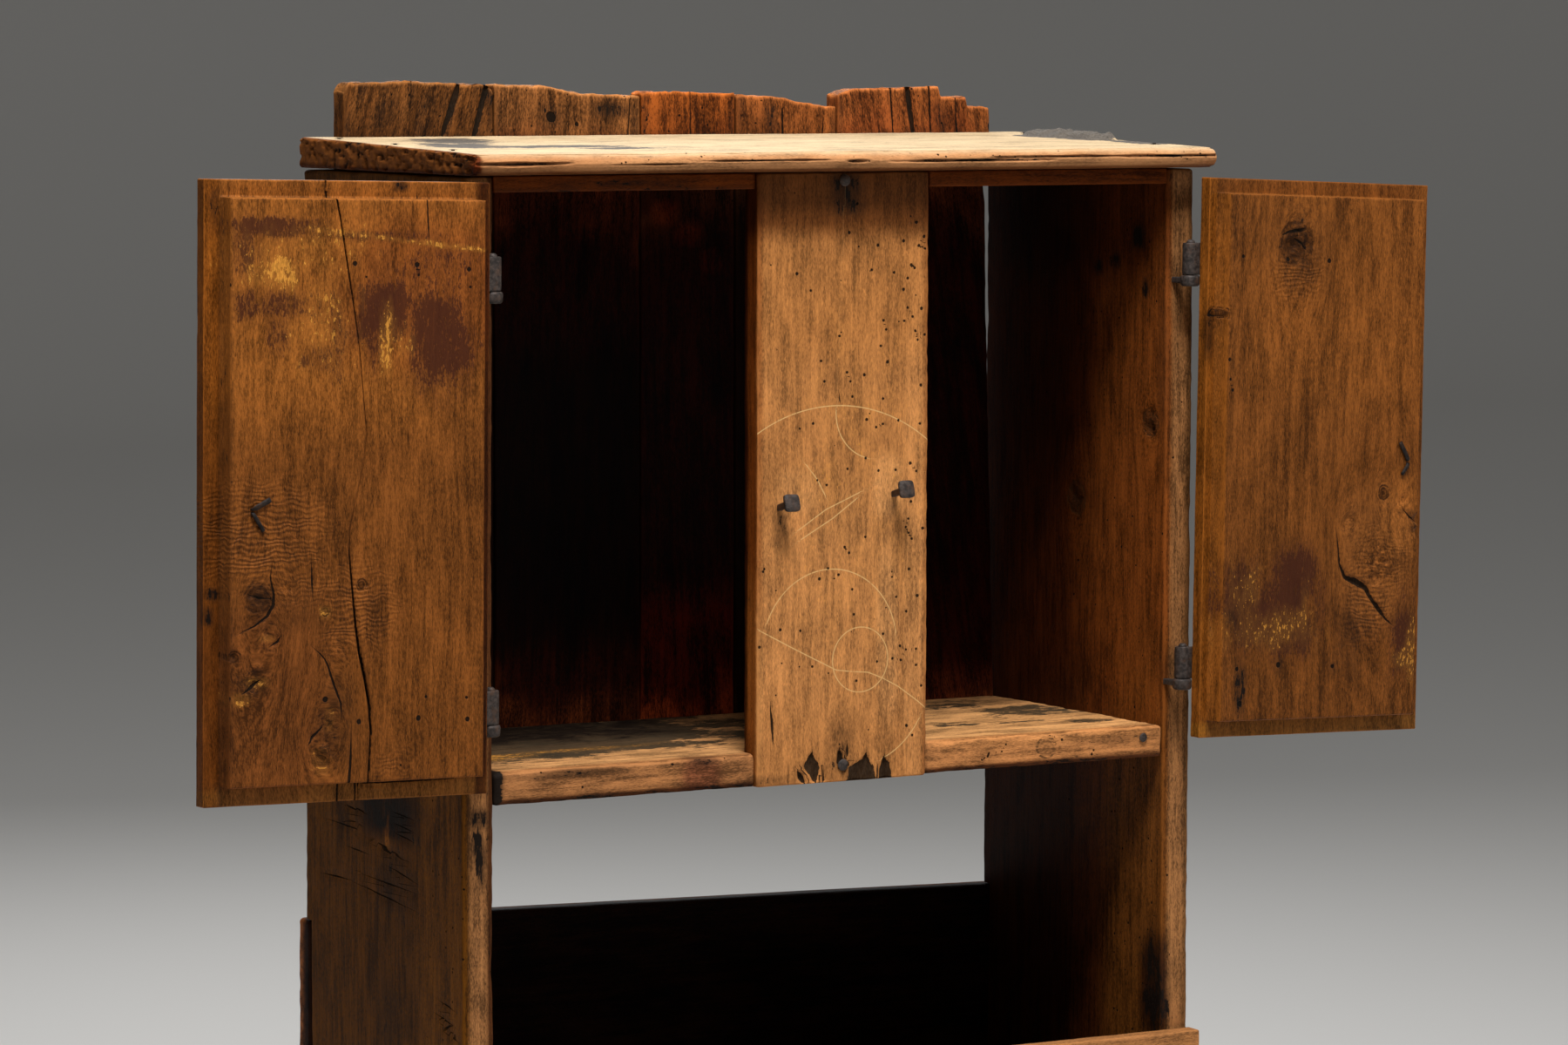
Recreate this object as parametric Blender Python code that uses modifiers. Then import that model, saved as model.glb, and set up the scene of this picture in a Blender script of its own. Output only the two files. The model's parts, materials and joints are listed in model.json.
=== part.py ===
"""Rustic plank sideboard: a two-door cupboard over an open niche and a plank bin.

Metres, +Z up. The front looks along -Y and the floor is at z = 0. The doors stand open, as at rest:
each board is modelled about its own hinge axis, and each ring pull about the eye that holds it.
"""

from math import asin, cos, pi, radians, sin

import bmesh
import bpy
from mathutils import Matrix, Vector

# Carcass
CARCASS_WIDTH = 0.840
CARCASS_DEPTH = 0.338
SIDE_THICK = 0.034
SHELF_BOTTOM = 0.840
SHELF_THICK = 0.034
OPENING_HEIGHT = 0.550
RAIL_HEIGHT = 0.016
RAIL_DEPTH = 0.042
TOP_THICK = 0.026
TOP_FRONT_LAP = 0.035
TOP_END_LAP = 0.005
TOP_EDGE = (
    (0.0090, 0.0),
    (0.0075, 0.05),
    (0.0040, 0.16),
    (0.0010, 0.32),
    (0.0, 0.48),
    (0.0012, 0.66),
    (0.0040, 0.84),
    (0.0085, 1.0),
)  # the rounded front edge: set back from the foremost line, and share of the thickness down
STILE_WIDTH = 0.197
STILE_THICK = 0.026
STILE_PROUD = 0.004
STILE_PLAY = 0.003  # open joint beside the stile in its notches
FRONT_Y = -0.139  # the sides' front edges, with the origin under the middle of the whole

# Back planks of the cupboard, from left to right; the last one fills the rest of the width
BACK_THICK = 0.0245
BACK_WIDTHS = (0.1690, 0.1695, 0.1120, 0.1220)
BACK_GAP = 0.0012
BACK_TAPER = 0.008  # the last plank leaves the side by this much at its top
BACK_TOPS = (
    ((0.0, 0.052), (0.03, 0.060), (0.45, 0.061), (0.97, 0.057), (1.0, 0.050)),
    ((0.0, 0.058), (0.35, 0.056), (0.60, 0.048), (1.0, 0.046)),
    ((0.0, 0.048), (0.08, 0.050), (1.0, 0.048)),
    ((0.0, 0.047), (0.45, 0.043), (0.8, 0.036), (1.0, 0.034)),
    ((0.0, 0.046), (0.10, 0.052), (0.66, 0.054), (0.67, 0.043), (0.84, 0.044), (0.85, 0.034), (1.0, 0.032)),
)  # each outline's share of the plank's width, and height above the top board

# Bin under the niche
BASE_CLEAR = 0.100
FRONT_THICK = 0.022
FRONT_HEIGHTS = (0.228, 0.231)  # lower plank, upper plank
LOWER_BACK_THICK = 0.0275
LOWER_BACK_LET_IN = 0.0105
LOWER_BACK_SEAM = 0.285  # height of the lower plank
LOWER_BACK_TOP_LEFT = 0.691
LOWER_BACK_TOP_RIGHT = 0.667
PLANK_SEAM = 0.0010
FLOOR_THICK = 0.022
FLOOR_BOARDS = 2
CLEAT_HEIGHT = 0.030
CLEAT_DEPTH = 0.024
CLEAT_SETBACK = 0.020

# Doors, both lipped all round; the laps are how far the lips cover the frame round the opening
LIP_THICK = 0.0135
FIELD_STEP = 0.020
CLOSED_GAP = 0.0012
DOOR_PIN_INSET = 0.040  # split pin, from the free edge
DOOR_PIN_HEIGHT = 0.264  # above the shelf's top
DOORS = {
    "left": {
        "sign": -1,
        "axis_inset": 0.017,
        "lean": 0.008,
        "opened": radians(178),
        "hinge_gap": 0.0155,
        "laps": {"free": 0.0110, "bottom": 0.0132, "top": 0.0112},
        "slope": 0.016,
        "lips": {"hinge": 0.0155, "free": 0.0170, "bottom": 0.0188, "top": 0.0162},
    },
    "right": {
        "sign": 1,
        "axis_inset": 0.027,
        "lean": 0.014,
        "opened": radians(187),
        "hinge_gap": 0.0045,
        "laps": {"free": 0.0150, "bottom": 0.0098, "top": 0.0080},
        "slope": -0.028,
        "lips": {"hinge": 0.0103, "free": 0.0225, "bottom": 0.0178, "top": 0.0150},
    },
}

# Strap hinges and pintles
STRAP_THICK = 0.0035
STRAP_LENGTH = 0.188
STRAP_NECK = 0.022  # the strap keeps the eye's height up to here
STRAP_TIP_HEIGHT = 0.017
STRAP_TIP = ((0.0, 0.15), (0.35, 0.38), (0.8, 0.5))  # shares of that height: back from the tip, half height
EYE_HEIGHT = 0.0325
EYE_TURN = radians(280)
LOWER_EYE_RISE = 0.0658  # middle of the lower eye above the shelf's top
UPPER_EYE_DROP = 0.0750  # middle of the upper eye below the rail
STRAP_NAILS = (0.046, 0.104, 0.166)
PINTLE_RADIUS = 0.0044
PINTLE_RISE = 0.003
PINTLE_TIP = (0.7, 0.3)  # shares of the radius and of the rise at the rounded end
COLLAR_RADIUS = 0.0098
COLLAR_HEIGHT = 0.0115
COLLAR_ROUND = 0.2  # share of the height that is rounded off at each end
COLLAR_TOP = 0.92  # share of the radius left at the top
COLLAR_FOOT = 0.85  # share of the radius left at the foot
SPIKE_SIZE = 0.0072
SPIKE_TIP = 0.003
SPIKE_DEPTH = 0.045

# Ring pulls on split pins
WIRE_RADIUS = 0.0014
PIN_LEG_SPREAD = 0.0017
PIN_EYE_BORE = 0.0042
PIN_BEND = 0.0030
PIN_LEGS = ((-0.0130, 0.0100), (-0.0085, -0.0190))  # clenched legs: towards the hinge, and up
RING_RADIUS = 0.019
RING_WIRE = 0.0022

# Nails
NAIL_HEAD = 0.0058
NAIL_HEAD_HEIGHT = 0.0024
NAIL_SHANK = 0.0018
NAIL_SIDES = 6
NAIL_DOME = (0.45, 0.85)  # shares of the head's radius and height at the shoulder of its dome
NAIL_TAPER = (0.6, 0.5)  # the shank tapers from this share of its length to this share of its radius
NAIL_BITE = 0.022  # depth in the second board
STRAP_NAIL_BITE = 0.85  # share of the field's step that the strap nails enter
CATCH_HEAD = 0.0062
CATCH_HEAD_HEIGHT = 0.0045
CATCH_SHANK = 0.0032
CATCH_STAND = 0.022
CATCH_DEPTH = 0.016
CATCH_RISE = radians(22)
CATCH_INSETS = {"left": 0.0225, "right": 0.0400}  # from the stile's edges
CATCH_HEIGHTS = {"left": 0.237, "right": 0.246}  # above the shelf's top

# Clearances and edges
SEAT = 0.0003
EYE_PLAY = 0.0003
WORN_EDGE = 0.0025

# Derived levels and planes, with y = 0 on the sides' front edges
HALF_WIDTH = CARCASS_WIDTH / 2
INNER_X = HALF_WIDTH - SIDE_THICK
SHELF_TOP = SHELF_BOTTOM + SHELF_THICK
RAIL_BOTTOM = SHELF_TOP + OPENING_HEIGHT
SIDE_HEIGHT = RAIL_BOTTOM + RAIL_HEIGHT
TOP_SURFACE = SIDE_HEIGHT + TOP_THICK
BACK_FRONT_Y = CARCASS_DEPTH - BACK_THICK
STILE_BACK_Y = STILE_THICK - STILE_PROUD
LOWER_BACK_Y = CARCASS_DEPTH - LOWER_BACK_LET_IN
FLOOR_BOTTOM = BASE_CLEAR + CLEAT_HEIGHT
OUTER_FACE = PINTLE_RADIUS + EYE_PLAY + STRAP_THICK + SEAT  # door's outer face, from the axis
LIP_FACE = OUTER_FACE + LIP_THICK
FIELD_FACE = LIP_FACE + FIELD_STEP
HINGE_PROUD = LIP_FACE + STILE_PROUD + CLOSED_GAP  # axis in front of the sides
EYE_MID_RADIUS = PINTLE_RADIUS + EYE_PLAY + STRAP_THICK / 2
EYE_LEVELS = {"lower": SHELF_TOP + LOWER_EYE_RISE, "upper": RAIL_BOTTOM - UPPER_EYE_DROP}
HINGE_MIDDLE = (EYE_LEVELS["lower"] + EYE_LEVELS["upper"]) / 2

PARTS = None
CUTTERS = None
ROOT = None


def clear_scene():
    """Remove every object and open fresh collections for the parts and the cutters."""
    global PARTS, CUTTERS, ROOT
    for old in list(bpy.data.objects):
        bpy.data.objects.remove(old, do_unlink=True)
    PARTS = bpy.data.collections.new("plank_sideboard")
    CUTTERS = bpy.data.collections.new("plank_sideboard_cutters")
    for collection in (PARTS, CUTTERS):
        bpy.context.scene.collection.children.link(collection)
    ROOT = add_empty("sideboard", Matrix.Translation((0, FRONT_Y, 0)), None)


def material(name, colour, roughness, metallic=0.0):
    """One Principled finish."""
    made = bpy.data.materials.new(name)
    made.use_nodes = True
    shader = made.node_tree.nodes["Principled BSDF"]
    shader.inputs["Base Color"].default_value = (*colour, 1.0)
    shader.inputs["Roughness"].default_value = roughness
    shader.inputs["Metallic"].default_value = metallic
    return made


def add_empty(name, matrix, parent):
    """An empty that carries other objects, placed by its own matrix under the parent."""
    empty = bpy.data.objects.new(name, None)
    PARTS.objects.link(empty)
    empty.parent = parent
    empty.matrix_local = matrix
    return empty


def add_part(name, mesh, finish, parent=None):
    """Link a mesh as one named sub-part with its own copy of a finish."""
    part = bpy.data.objects.new(name, mesh)
    part.data.materials.clear()
    own = finish.copy()
    own.name = name + "_finish"
    part.data.materials.append(own)
    PARTS.objects.link(part)
    part.parent = parent or ROOT
    return part


def add_cutter(name, mesh, parent=None):
    """Link a mesh as a hidden cutter."""
    cutter = bpy.data.objects.new(name, mesh)
    cutter.hide_render = True
    cutter.display_type = "WIRE"
    CUTTERS.objects.link(cutter)
    cutter.parent = parent or ROOT
    return cutter


def bevel(part, width=WORN_EDGE, segments=1):
    """Worn arrises."""
    worn = part.modifiers.new("worn_edge", "BEVEL")
    worn.width = width
    worn.segments = segments
    worn.limit_method = "ANGLE"
    worn.angle_limit = radians(40)


def boolean(part, other, operation="DIFFERENCE"):
    """Cut or join another object into a part."""
    step = part.modifiers.new(operation.lower() + "_" + other.name, "BOOLEAN")
    step.operation = operation
    step.object = other
    step.solver = "EXACT"


def mesh_from(name, fill):
    """A mesh filled through a bmesh by the given function."""
    made = bmesh.new()
    fill(made)
    mesh = bpy.data.meshes.new(name)
    made.to_mesh(mesh)
    made.free()
    return mesh


def add_box(made, low, high):
    """Add one axis-aligned box to a bmesh."""
    low, high = Vector(low), Vector(high)
    size = high - low
    place = Matrix.Translation((low + high) / 2) @ Matrix.Diagonal((*size, 1.0))
    bmesh.ops.create_cube(made, size=1.0, matrix=place)


def box_mesh(name, *boxes):
    """A mesh of one or more boxes, each given by its low and high corners."""
    return mesh_from(name, lambda made: [add_box(made, low, high) for low, high in boxes])


def board(name, low, high, finish, parent=None):
    """A plain plank with worn arrises."""
    part = add_part(name, box_mesh(name, (low, high)), finish, parent)
    bevel(part)
    return part


def mesh_of(curve_object, name):
    """The evaluated mesh of an object, with doubled points welded; the object is removed."""
    graph = bpy.context.evaluated_depsgraph_get()
    mesh = bpy.data.meshes.new_from_object(curve_object.evaluated_get(graph))
    mesh.name = name
    welded = bmesh.new()
    welded.from_mesh(mesh)
    bmesh.ops.remove_doubles(welded, verts=welded.verts, dist=1e-6)
    bmesh.ops.recalc_face_normals(welded, faces=welded.faces)
    welded.to_mesh(mesh)
    welded.free()
    bpy.data.objects.remove(curve_object, do_unlink=True)
    return mesh


def outline_mesh(name, points, front_y, back_y):
    """A flat outline in the XZ plane, carried from one depth to another."""
    curve = bpy.data.curves.new(name, "CURVE")
    curve.dimensions = "2D"
    curve.fill_mode = "BOTH"
    curve.extrude = (back_y - front_y) / 2
    spline = curve.splines.new("POLY")
    spline.points.add(len(points) - 1)
    for point, (x, z) in zip(spline.points, points):
        point.co = (x, z, 0, 1)
    spline.use_cyclic_u = True
    flat = bpy.data.objects.new(name, curve)
    bpy.context.scene.collection.objects.link(flat)
    mesh = mesh_of(flat, name)
    middle = Matrix.Translation((0, (front_y + back_y) / 2, 0))
    mesh.transform(middle @ Matrix.Rotation(pi / 2, 4, "X"))
    return mesh


def turned_mesh(name, profile, steps):
    """A profile of (radius, height) points, top to bottom, turned about Z."""
    line = bpy.data.meshes.new(name + "_profile")
    line.from_pydata([(r, 0, z) for r, z in profile], [(i, i + 1) for i in range(len(profile) - 1)], [])
    turning = bpy.data.objects.new(name, line)
    bpy.context.scene.collection.objects.link(turning)
    screw = turning.modifiers.new("turn", "SCREW")
    screw.steps = steps
    screw.render_steps = steps
    screw.use_merge_vertices = True
    screw.merge_threshold = 1e-5
    return mesh_of(turning, name)


def along(point, direction):
    """A matrix that puts local +Z along a direction at a point."""
    return Matrix.Translation(Vector(point)) @ Vector(direction).to_track_quat("Z", "Y").to_matrix().to_4x4()


def nail_profile(length, shank, head, head_height):
    """A nail whose head stands on z = 0, with the shank below."""
    return (
        (0.0, head_height),
        (head * NAIL_DOME[0], head_height * NAIL_DOME[1]),
        (head, SEAT),
        (shank, SEAT),
        (shank, -length * NAIL_TAPER[0]),
        (shank * NAIL_TAPER[1], -length),
        (0.0, -length),
    )


def add_nails(name, places, length, finish, parent=None):
    """Like nails, each a piece of its own: a place is a point on the face and the direction out of it."""
    pattern = turned_mesh(name, nail_profile(length, NAIL_SHANK, NAIL_HEAD, NAIL_HEAD_HEIGHT), NAIL_SIDES)
    for number, (point, out) in enumerate(places, 1):
        mesh = pattern.copy()
        mesh.transform(along(point, out))
        add_part(f"{name}_{number}", mesh, finish, parent)


def drill(part, name, places, length, parent=None, radius=NAIL_SHANK + SEAT):
    """Pilot holes in a part, at the same places as its nails; their flats clear the radius."""
    corner = radius / cos(pi / NAIL_SIDES)

    def fill(made):
        for point, out in places:
            middle = Vector(point) - Vector(out).normalized() * (length / 2 - WORN_EDGE)
            bmesh.ops.create_cone(
                made,
                cap_ends=True,
                segments=NAIL_SIDES,
                radius1=corner,
                radius2=corner,
                depth=length + 2 * SEAT + 2 * WORN_EDGE,
                matrix=along(middle, out),
            )

    boolean(part, add_cutter(name, mesh_from(name, fill), parent))


def add_sides(wood):
    """Two full-height planks, rebated behind for the lower back planks."""
    sides = {}
    for name, sign in (("left", -1), ("right", 1)):
        low_x, high_x = sorted((sign * HALF_WIDTH, sign * INNER_X))
        side = board("side_" + name, (low_x, 0, 0), (high_x, CARCASS_DEPTH, SIDE_HEIGHT), wood)
        top = max(lower_back_top(low_x), lower_back_top(high_x)) + SEAT
        rebate = box_mesh(
            "rebate_" + name,
            (
                (low_x - WORN_EDGE, LOWER_BACK_Y - SEAT, BASE_CLEAR - SEAT),
                (high_x + WORN_EDGE, CARCASS_DEPTH + WORN_EDGE, top),
            ),
        )
        boolean(side, add_cutter("rebate_" + name, rebate))
        sides[name] = side
    return sides


def add_top(wood):
    """The top board: a moulded section along its length, notched round the back planks."""
    section = [(CARCASS_DEPTH, SIDE_HEIGHT + SEAT), (CARCASS_DEPTH, TOP_SURFACE)]
    for set_back, share in TOP_EDGE:
        section.append((set_back - TOP_FRONT_LAP, TOP_SURFACE - share * (TOP_THICK - SEAT)))
    half_length = HALF_WIDTH + TOP_END_LAP
    mesh = outline_mesh("top_board", section, -half_length, half_length)
    mesh.transform(Matrix.Rotation(pi / 2, 4, "Z"))
    top = add_part("top_board", mesh, wood)
    notch = box_mesh(
        "top_notch",
        (
            (-INNER_X, BACK_FRONT_Y - SEAT, SIDE_HEIGHT - WORN_EDGE),
            (INNER_X, CARCASS_DEPTH + WORN_EDGE, TOP_SURFACE + WORN_EDGE),
        ),
    )
    boolean(top, add_cutter("top_notch", notch))


def stile_notch(name, low_z, high_z):
    """Cutter for the notch that the stile sits in, with an open joint on its right."""
    half = STILE_WIDTH / 2
    low = (-half - SEAT, -WORN_EDGE, low_z - WORN_EDGE)
    high = (half + STILE_PLAY, STILE_BACK_Y + SEAT, high_z + WORN_EDGE)
    return add_cutter(name, box_mesh(name, (low, high)))


def add_front_frame(wood):
    """Rail under the top, floor of the cupboard, and the stile let into both."""
    span = INNER_X - SEAT
    rail = board("top_rail", (-span, 0, RAIL_BOTTOM), (span, RAIL_DEPTH, SIDE_HEIGHT), wood["rail"])
    boolean(rail, stile_notch("rail_notch", RAIL_BOTTOM, SIDE_HEIGHT))
    shelf = board(
        "cupboard_shelf", (-span, 0, SHELF_BOTTOM), (span, BACK_FRONT_Y - SEAT, SHELF_TOP), wood["shelf"]
    )
    boolean(shelf, stile_notch("shelf_notch", SHELF_BOTTOM, SHELF_TOP))
    half = STILE_WIDTH / 2
    stile = board(
        "centre_stile", (-half, -STILE_PROUD, SHELF_BOTTOM), (half, STILE_BACK_Y, SIDE_HEIGHT), wood["stile"]
    )
    return rail, shelf, stile


def add_back_planks(wood):
    """Vertical planks between the sides, each with its own hewn top."""
    left = -INNER_X + SEAT
    right_end = INNER_X - SEAT
    for number, tops in enumerate(BACK_TOPS):
        last = number == len(BACK_TOPS) - 1
        right = right_end if last else left + BACK_WIDTHS[number]
        width = right - left - (0 if last else BACK_GAP)
        taper = BACK_TAPER if last else 0.0
        outline = [(left, SHELF_BOTTOM), (left + width, SHELF_BOTTOM)]
        for share, rise in reversed(tops):
            outline.append((left + share * (width - taper), TOP_SURFACE + rise))
        name = f"back_plank_{number + 1}"
        mesh = outline_mesh(name, outline, BACK_FRONT_Y, CARCASS_DEPTH)
        add_part(name, mesh, wood)
        left = right


def lower_back_top(x):
    """Height of the lower back's sloping top edge at x."""
    share = (x + HALF_WIDTH) / CARCASS_WIDTH
    return LOWER_BACK_TOP_LEFT + share * (LOWER_BACK_TOP_RIGHT - LOWER_BACK_TOP_LEFT)


def add_bin(wood):
    """Front and back planks of the bin, its floor boards and the cleats under them."""
    seam = BASE_CLEAR + LOWER_BACK_SEAM
    ends = (-HALF_WIDTH, HALF_WIDTH)
    outlines = {
        "lower_back_lower": [(ends[0], BASE_CLEAR), (ends[1], BASE_CLEAR), (ends[1], seam), (ends[0], seam)],
        "lower_back_upper": [
            (ends[0], seam + PLANK_SEAM),
            (ends[1], seam + PLANK_SEAM),
            (ends[1], lower_back_top(ends[1])),
            (ends[0], lower_back_top(ends[0])),
        ],
    }
    for name, outline in outlines.items():
        mesh = outline_mesh(name, outline, LOWER_BACK_Y, LOWER_BACK_Y + LOWER_BACK_THICK)
        bevel(add_part(name, mesh, wood["back"]))
    low_z = BASE_CLEAR
    for name, height in zip(("front_plank_lower", "front_plank_upper"), FRONT_HEIGHTS):
        low = (-HALF_WIDTH, -SEAT - FRONT_THICK, low_z)
        high = (HALF_WIDTH, -SEAT, low_z + height)
        board(name, low, high, wood["front"])
        low_z += height + PLANK_SEAM
    cleat_end = LOWER_BACK_Y - CLEAT_SETBACK
    for name, sign in (("left", -1), ("right", 1)):
        low_x, high_x = sorted((sign * (INNER_X - SEAT), sign * (INNER_X - SEAT - CLEAT_DEPTH)))
        low = (low_x, CLEAT_SETBACK, FLOOR_BOTTOM - CLEAT_HEIGHT)
        high = (high_x, cleat_end, FLOOR_BOTTOM - SEAT)
        board("floor_cleat_" + name, low, high, wood["bin"])
    floor_width = (LOWER_BACK_Y - 2 * SEAT) / FLOOR_BOARDS
    for number in range(FLOOR_BOARDS):
        low_y = SEAT + number * floor_width
        low = (-INNER_X + SEAT, low_y, FLOOR_BOTTOM)
        high = (INNER_X - SEAT, low_y + floor_width - PLANK_SEAM, FLOOR_BOTTOM + FLOOR_THICK)
        board(f"bin_floor_{number + 1}", low, high, wood["bin"])


def hinge_frame(door):
    """Matrix of a hinge axis: local Z along the leaning pintles, local y = 0 on the axis."""
    x = door["sign"] * (HALF_WIDTH - door["axis_inset"])
    place = Matrix.Translation((x, -HINGE_PROUD, HINGE_MIDDLE))
    return place @ Matrix.Rotation(door["lean"], 4, "Y")


def spike_mesh(name, clear):
    """The square tapering spike of a pintle, along +Y from the axis."""
    length = HINGE_PROUD + SPIKE_DEPTH + clear

    def fill(made):
        turn = Matrix.Translation((0, length / 2, 0)) @ Matrix.Rotation(-pi / 2, 4, "X")
        bmesh.ops.create_cone(
            made,
            cap_ends=True,
            segments=4,
            radius1=(SPIKE_SIZE / 2 + clear) * 2**0.5,
            radius2=(SPIKE_TIP / 2 + clear) * 2**0.5,
            depth=length,
            matrix=turn @ Matrix.Rotation(pi / 4, 4, "Z"),
        )

    return mesh_from(name, fill)


def add_pintles(side, name, door, iron):
    """Two pintles on one side: a pin and a collar, on a spike driven into the plank's edge."""
    axis = add_empty("pintle_axis_" + name, hinge_frame(door), ROOT)
    for level, height in EYE_LEVELS.items():
        label = f"pintle_{name}_{level}"
        eye_low = height - EYE_HEIGHT / 2 - HINGE_MIDDLE
        collar_low = eye_low - COLLAR_HEIGHT
        pin_top = eye_low + EYE_HEIGHT + PINTLE_RISE
        profile = (
            (0.0, pin_top),
            (PINTLE_RADIUS * PINTLE_TIP[0], pin_top - PINTLE_RISE * PINTLE_TIP[1]),
            (PINTLE_RADIUS, pin_top - PINTLE_RISE),
            (PINTLE_RADIUS, eye_low - SEAT),
            (COLLAR_RADIUS * COLLAR_TOP, eye_low - SEAT),
            (COLLAR_RADIUS, eye_low - COLLAR_HEIGHT * COLLAR_ROUND),
            (COLLAR_RADIUS, collar_low + COLLAR_HEIGHT * COLLAR_ROUND),
            (COLLAR_RADIUS * COLLAR_FOOT, collar_low),
            (0.0, collar_low),
        )
        pintle = add_part(label, turned_mesh(label, profile, 12), iron, axis)
        middle = Matrix.Translation((0, 0, collar_low + COLLAR_HEIGHT / 2))
        spike = spike_mesh(label + "_spike", 0.0)
        spike.transform(middle)
        boolean(pintle, add_cutter(label + "_spike", spike, axis), "UNION")
        socket = spike_mesh(label + "_socket", SEAT)
        socket.transform(middle)
        boolean(side, add_cutter(label + "_socket", socket, axis))


def door_width(door):
    """Width of a door's lip, from its hinge edge to its lap on the stile."""
    axis_x = HALF_WIDTH - door["axis_inset"]
    return axis_x - STILE_WIDTH / 2 + door["laps"]["free"] - door["hinge_gap"]


def door_span(low_u, high_u, low_v, high_v, low_n, high_n, sign):
    """Corners of a box in a door's frame: u from the axis, v up, n towards the inner face."""
    low_x, high_x = sorted((sign * low_u, sign * high_u))
    return (low_x, -high_n, low_v), (high_x, -low_n, high_v)


def add_door_board(name, door, frame, wood):
    """A single thick board, rebated to a lip on all four edges, a little out of square."""
    sign, lips = door["sign"], door["lips"]
    low_u = door["hinge_gap"]
    high_u = low_u + door_width(door)
    low_v = SHELF_TOP - door["laps"]["bottom"] - HINGE_MIDDLE
    high_v = RAIL_BOTTOM + door["laps"]["top"] - HINGE_MIDDLE
    skew = Matrix.Identity(4)
    skew[2][0] = sign * door["slope"]
    lip = box_mesh("lip_" + name, door_span(low_u, high_u, low_v, high_v, OUTER_FACE, LIP_FACE, sign))
    lip.transform(skew)
    field_spans = door_span(
        low_u + lips["hinge"],
        high_u - lips["free"],
        low_v + lips["bottom"],
        high_v - lips["top"],
        OUTER_FACE + LIP_THICK / 2,
        FIELD_FACE,
        sign,
    )
    field = box_mesh("field_" + name, field_spans)
    field.transform(skew)
    panel = add_part("door_" + name, lip, wood, frame)
    boolean(panel, add_cutter("field_" + name, field, frame), "UNION")
    bevel(panel, WORN_EDGE, 2)
    return panel


def strap_half_height(u):
    """Half the strap's height: full at the eye, tapering to the tip."""
    if u <= STRAP_NECK:
        return EYE_HEIGHT / 2
    share = (u - STRAP_NECK) / (STRAP_LENGTH - STRAP_NECK)
    return (EYE_HEIGHT + share * (STRAP_TIP_HEIGHT - EYE_HEIGHT)) / 2


def strap_mesh(name, sign, middle_v):
    """An open strip along the strap and round its eye, as a ribbon of two rows of points."""
    stations = []
    for back, half in STRAP_TIP:
        stations.append((STRAP_LENGTH - STRAP_TIP_HEIGHT * back, EYE_MID_RADIUS, STRAP_TIP_HEIGHT * half))
    for u in (STRAP_NECK, 0.0):
        stations.append((u, EYE_MID_RADIUS, strap_half_height(u)))
    turns = 14
    for step in range(1, turns + 1):
        angle = pi / 2 + EYE_TURN * step / turns
        stations.append((EYE_MID_RADIUS * cos(angle), EYE_MID_RADIUS * sin(angle), EYE_HEIGHT / 2))
    points, faces = [], []
    for index, (u, n, half) in enumerate(stations):
        points.append((sign * u, -n, middle_v - half))
        points.append((sign * u, -n, middle_v + half))
        if index:
            row = 2 * index
            faces.append((row - 2, row - 1, row + 1, row))
    mesh = bpy.data.meshes.new(name)
    mesh.from_pydata(points, [], faces)
    return mesh


def add_straps(name, door, frame, panel, iron):
    """Two strap hinges on a door's outer face, with their nails."""
    sign = door["sign"]
    nail_places = []
    for level, height in EYE_LEVELS.items():
        middle_v = height - HINGE_MIDDLE
        label = f"hinge_strap_{name}_{level}"
        strap = add_part(label, strap_mesh(label, sign, middle_v), iron, frame)
        wall = strap.modifiers.new("wall", "SOLIDIFY")
        wall.thickness = STRAP_THICK
        wall.offset = 0.0
        wall.use_even_offset = True
        face_n = EYE_MID_RADIUS - STRAP_THICK / 2
        places = [((sign * u, -face_n, middle_v), (0, 1, 0)) for u in STRAP_NAILS]
        drill(strap, label + "_holes", places, STRAP_THICK, frame)
        nail_places += places
    length = STRAP_THICK + SEAT + LIP_THICK + FIELD_STEP * STRAP_NAIL_BITE
    add_nails("strap_nail_" + name, nail_places, length, iron, frame)
    drill(panel, f"strap_nail_holes_{name}", nail_places, length, frame)


def arc(centre, start, turn, radius, steps):
    """Points on an arc in the (n, v) plane, without its first point."""
    angles = [start + turn * step / steps for step in range(1, steps + 1)]
    return [(centre[0] + radius * cos(angle), centre[1] + radius * sin(angle)) for angle in angles]


def wire_mesh(name, points, closed=False, radius=WIRE_RADIUS, resolution=2):
    """A round wire through points."""
    curve = bpy.data.curves.new(name, "CURVE")
    curve.dimensions = "3D"
    curve.bevel_depth = radius
    curve.bevel_resolution = resolution
    curve.use_fill_caps = not closed
    spline = curve.splines.new("POLY")
    spline.points.add(len(points) - 1)
    for point, place in zip(spline.points, points):
        point.co = (*place, 1)
    spline.use_cyclic_u = closed
    wire = bpy.data.objects.new(name, curve)
    bpy.context.scene.collection.objects.link(wire)
    return mesh_of(wire, name)


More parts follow.
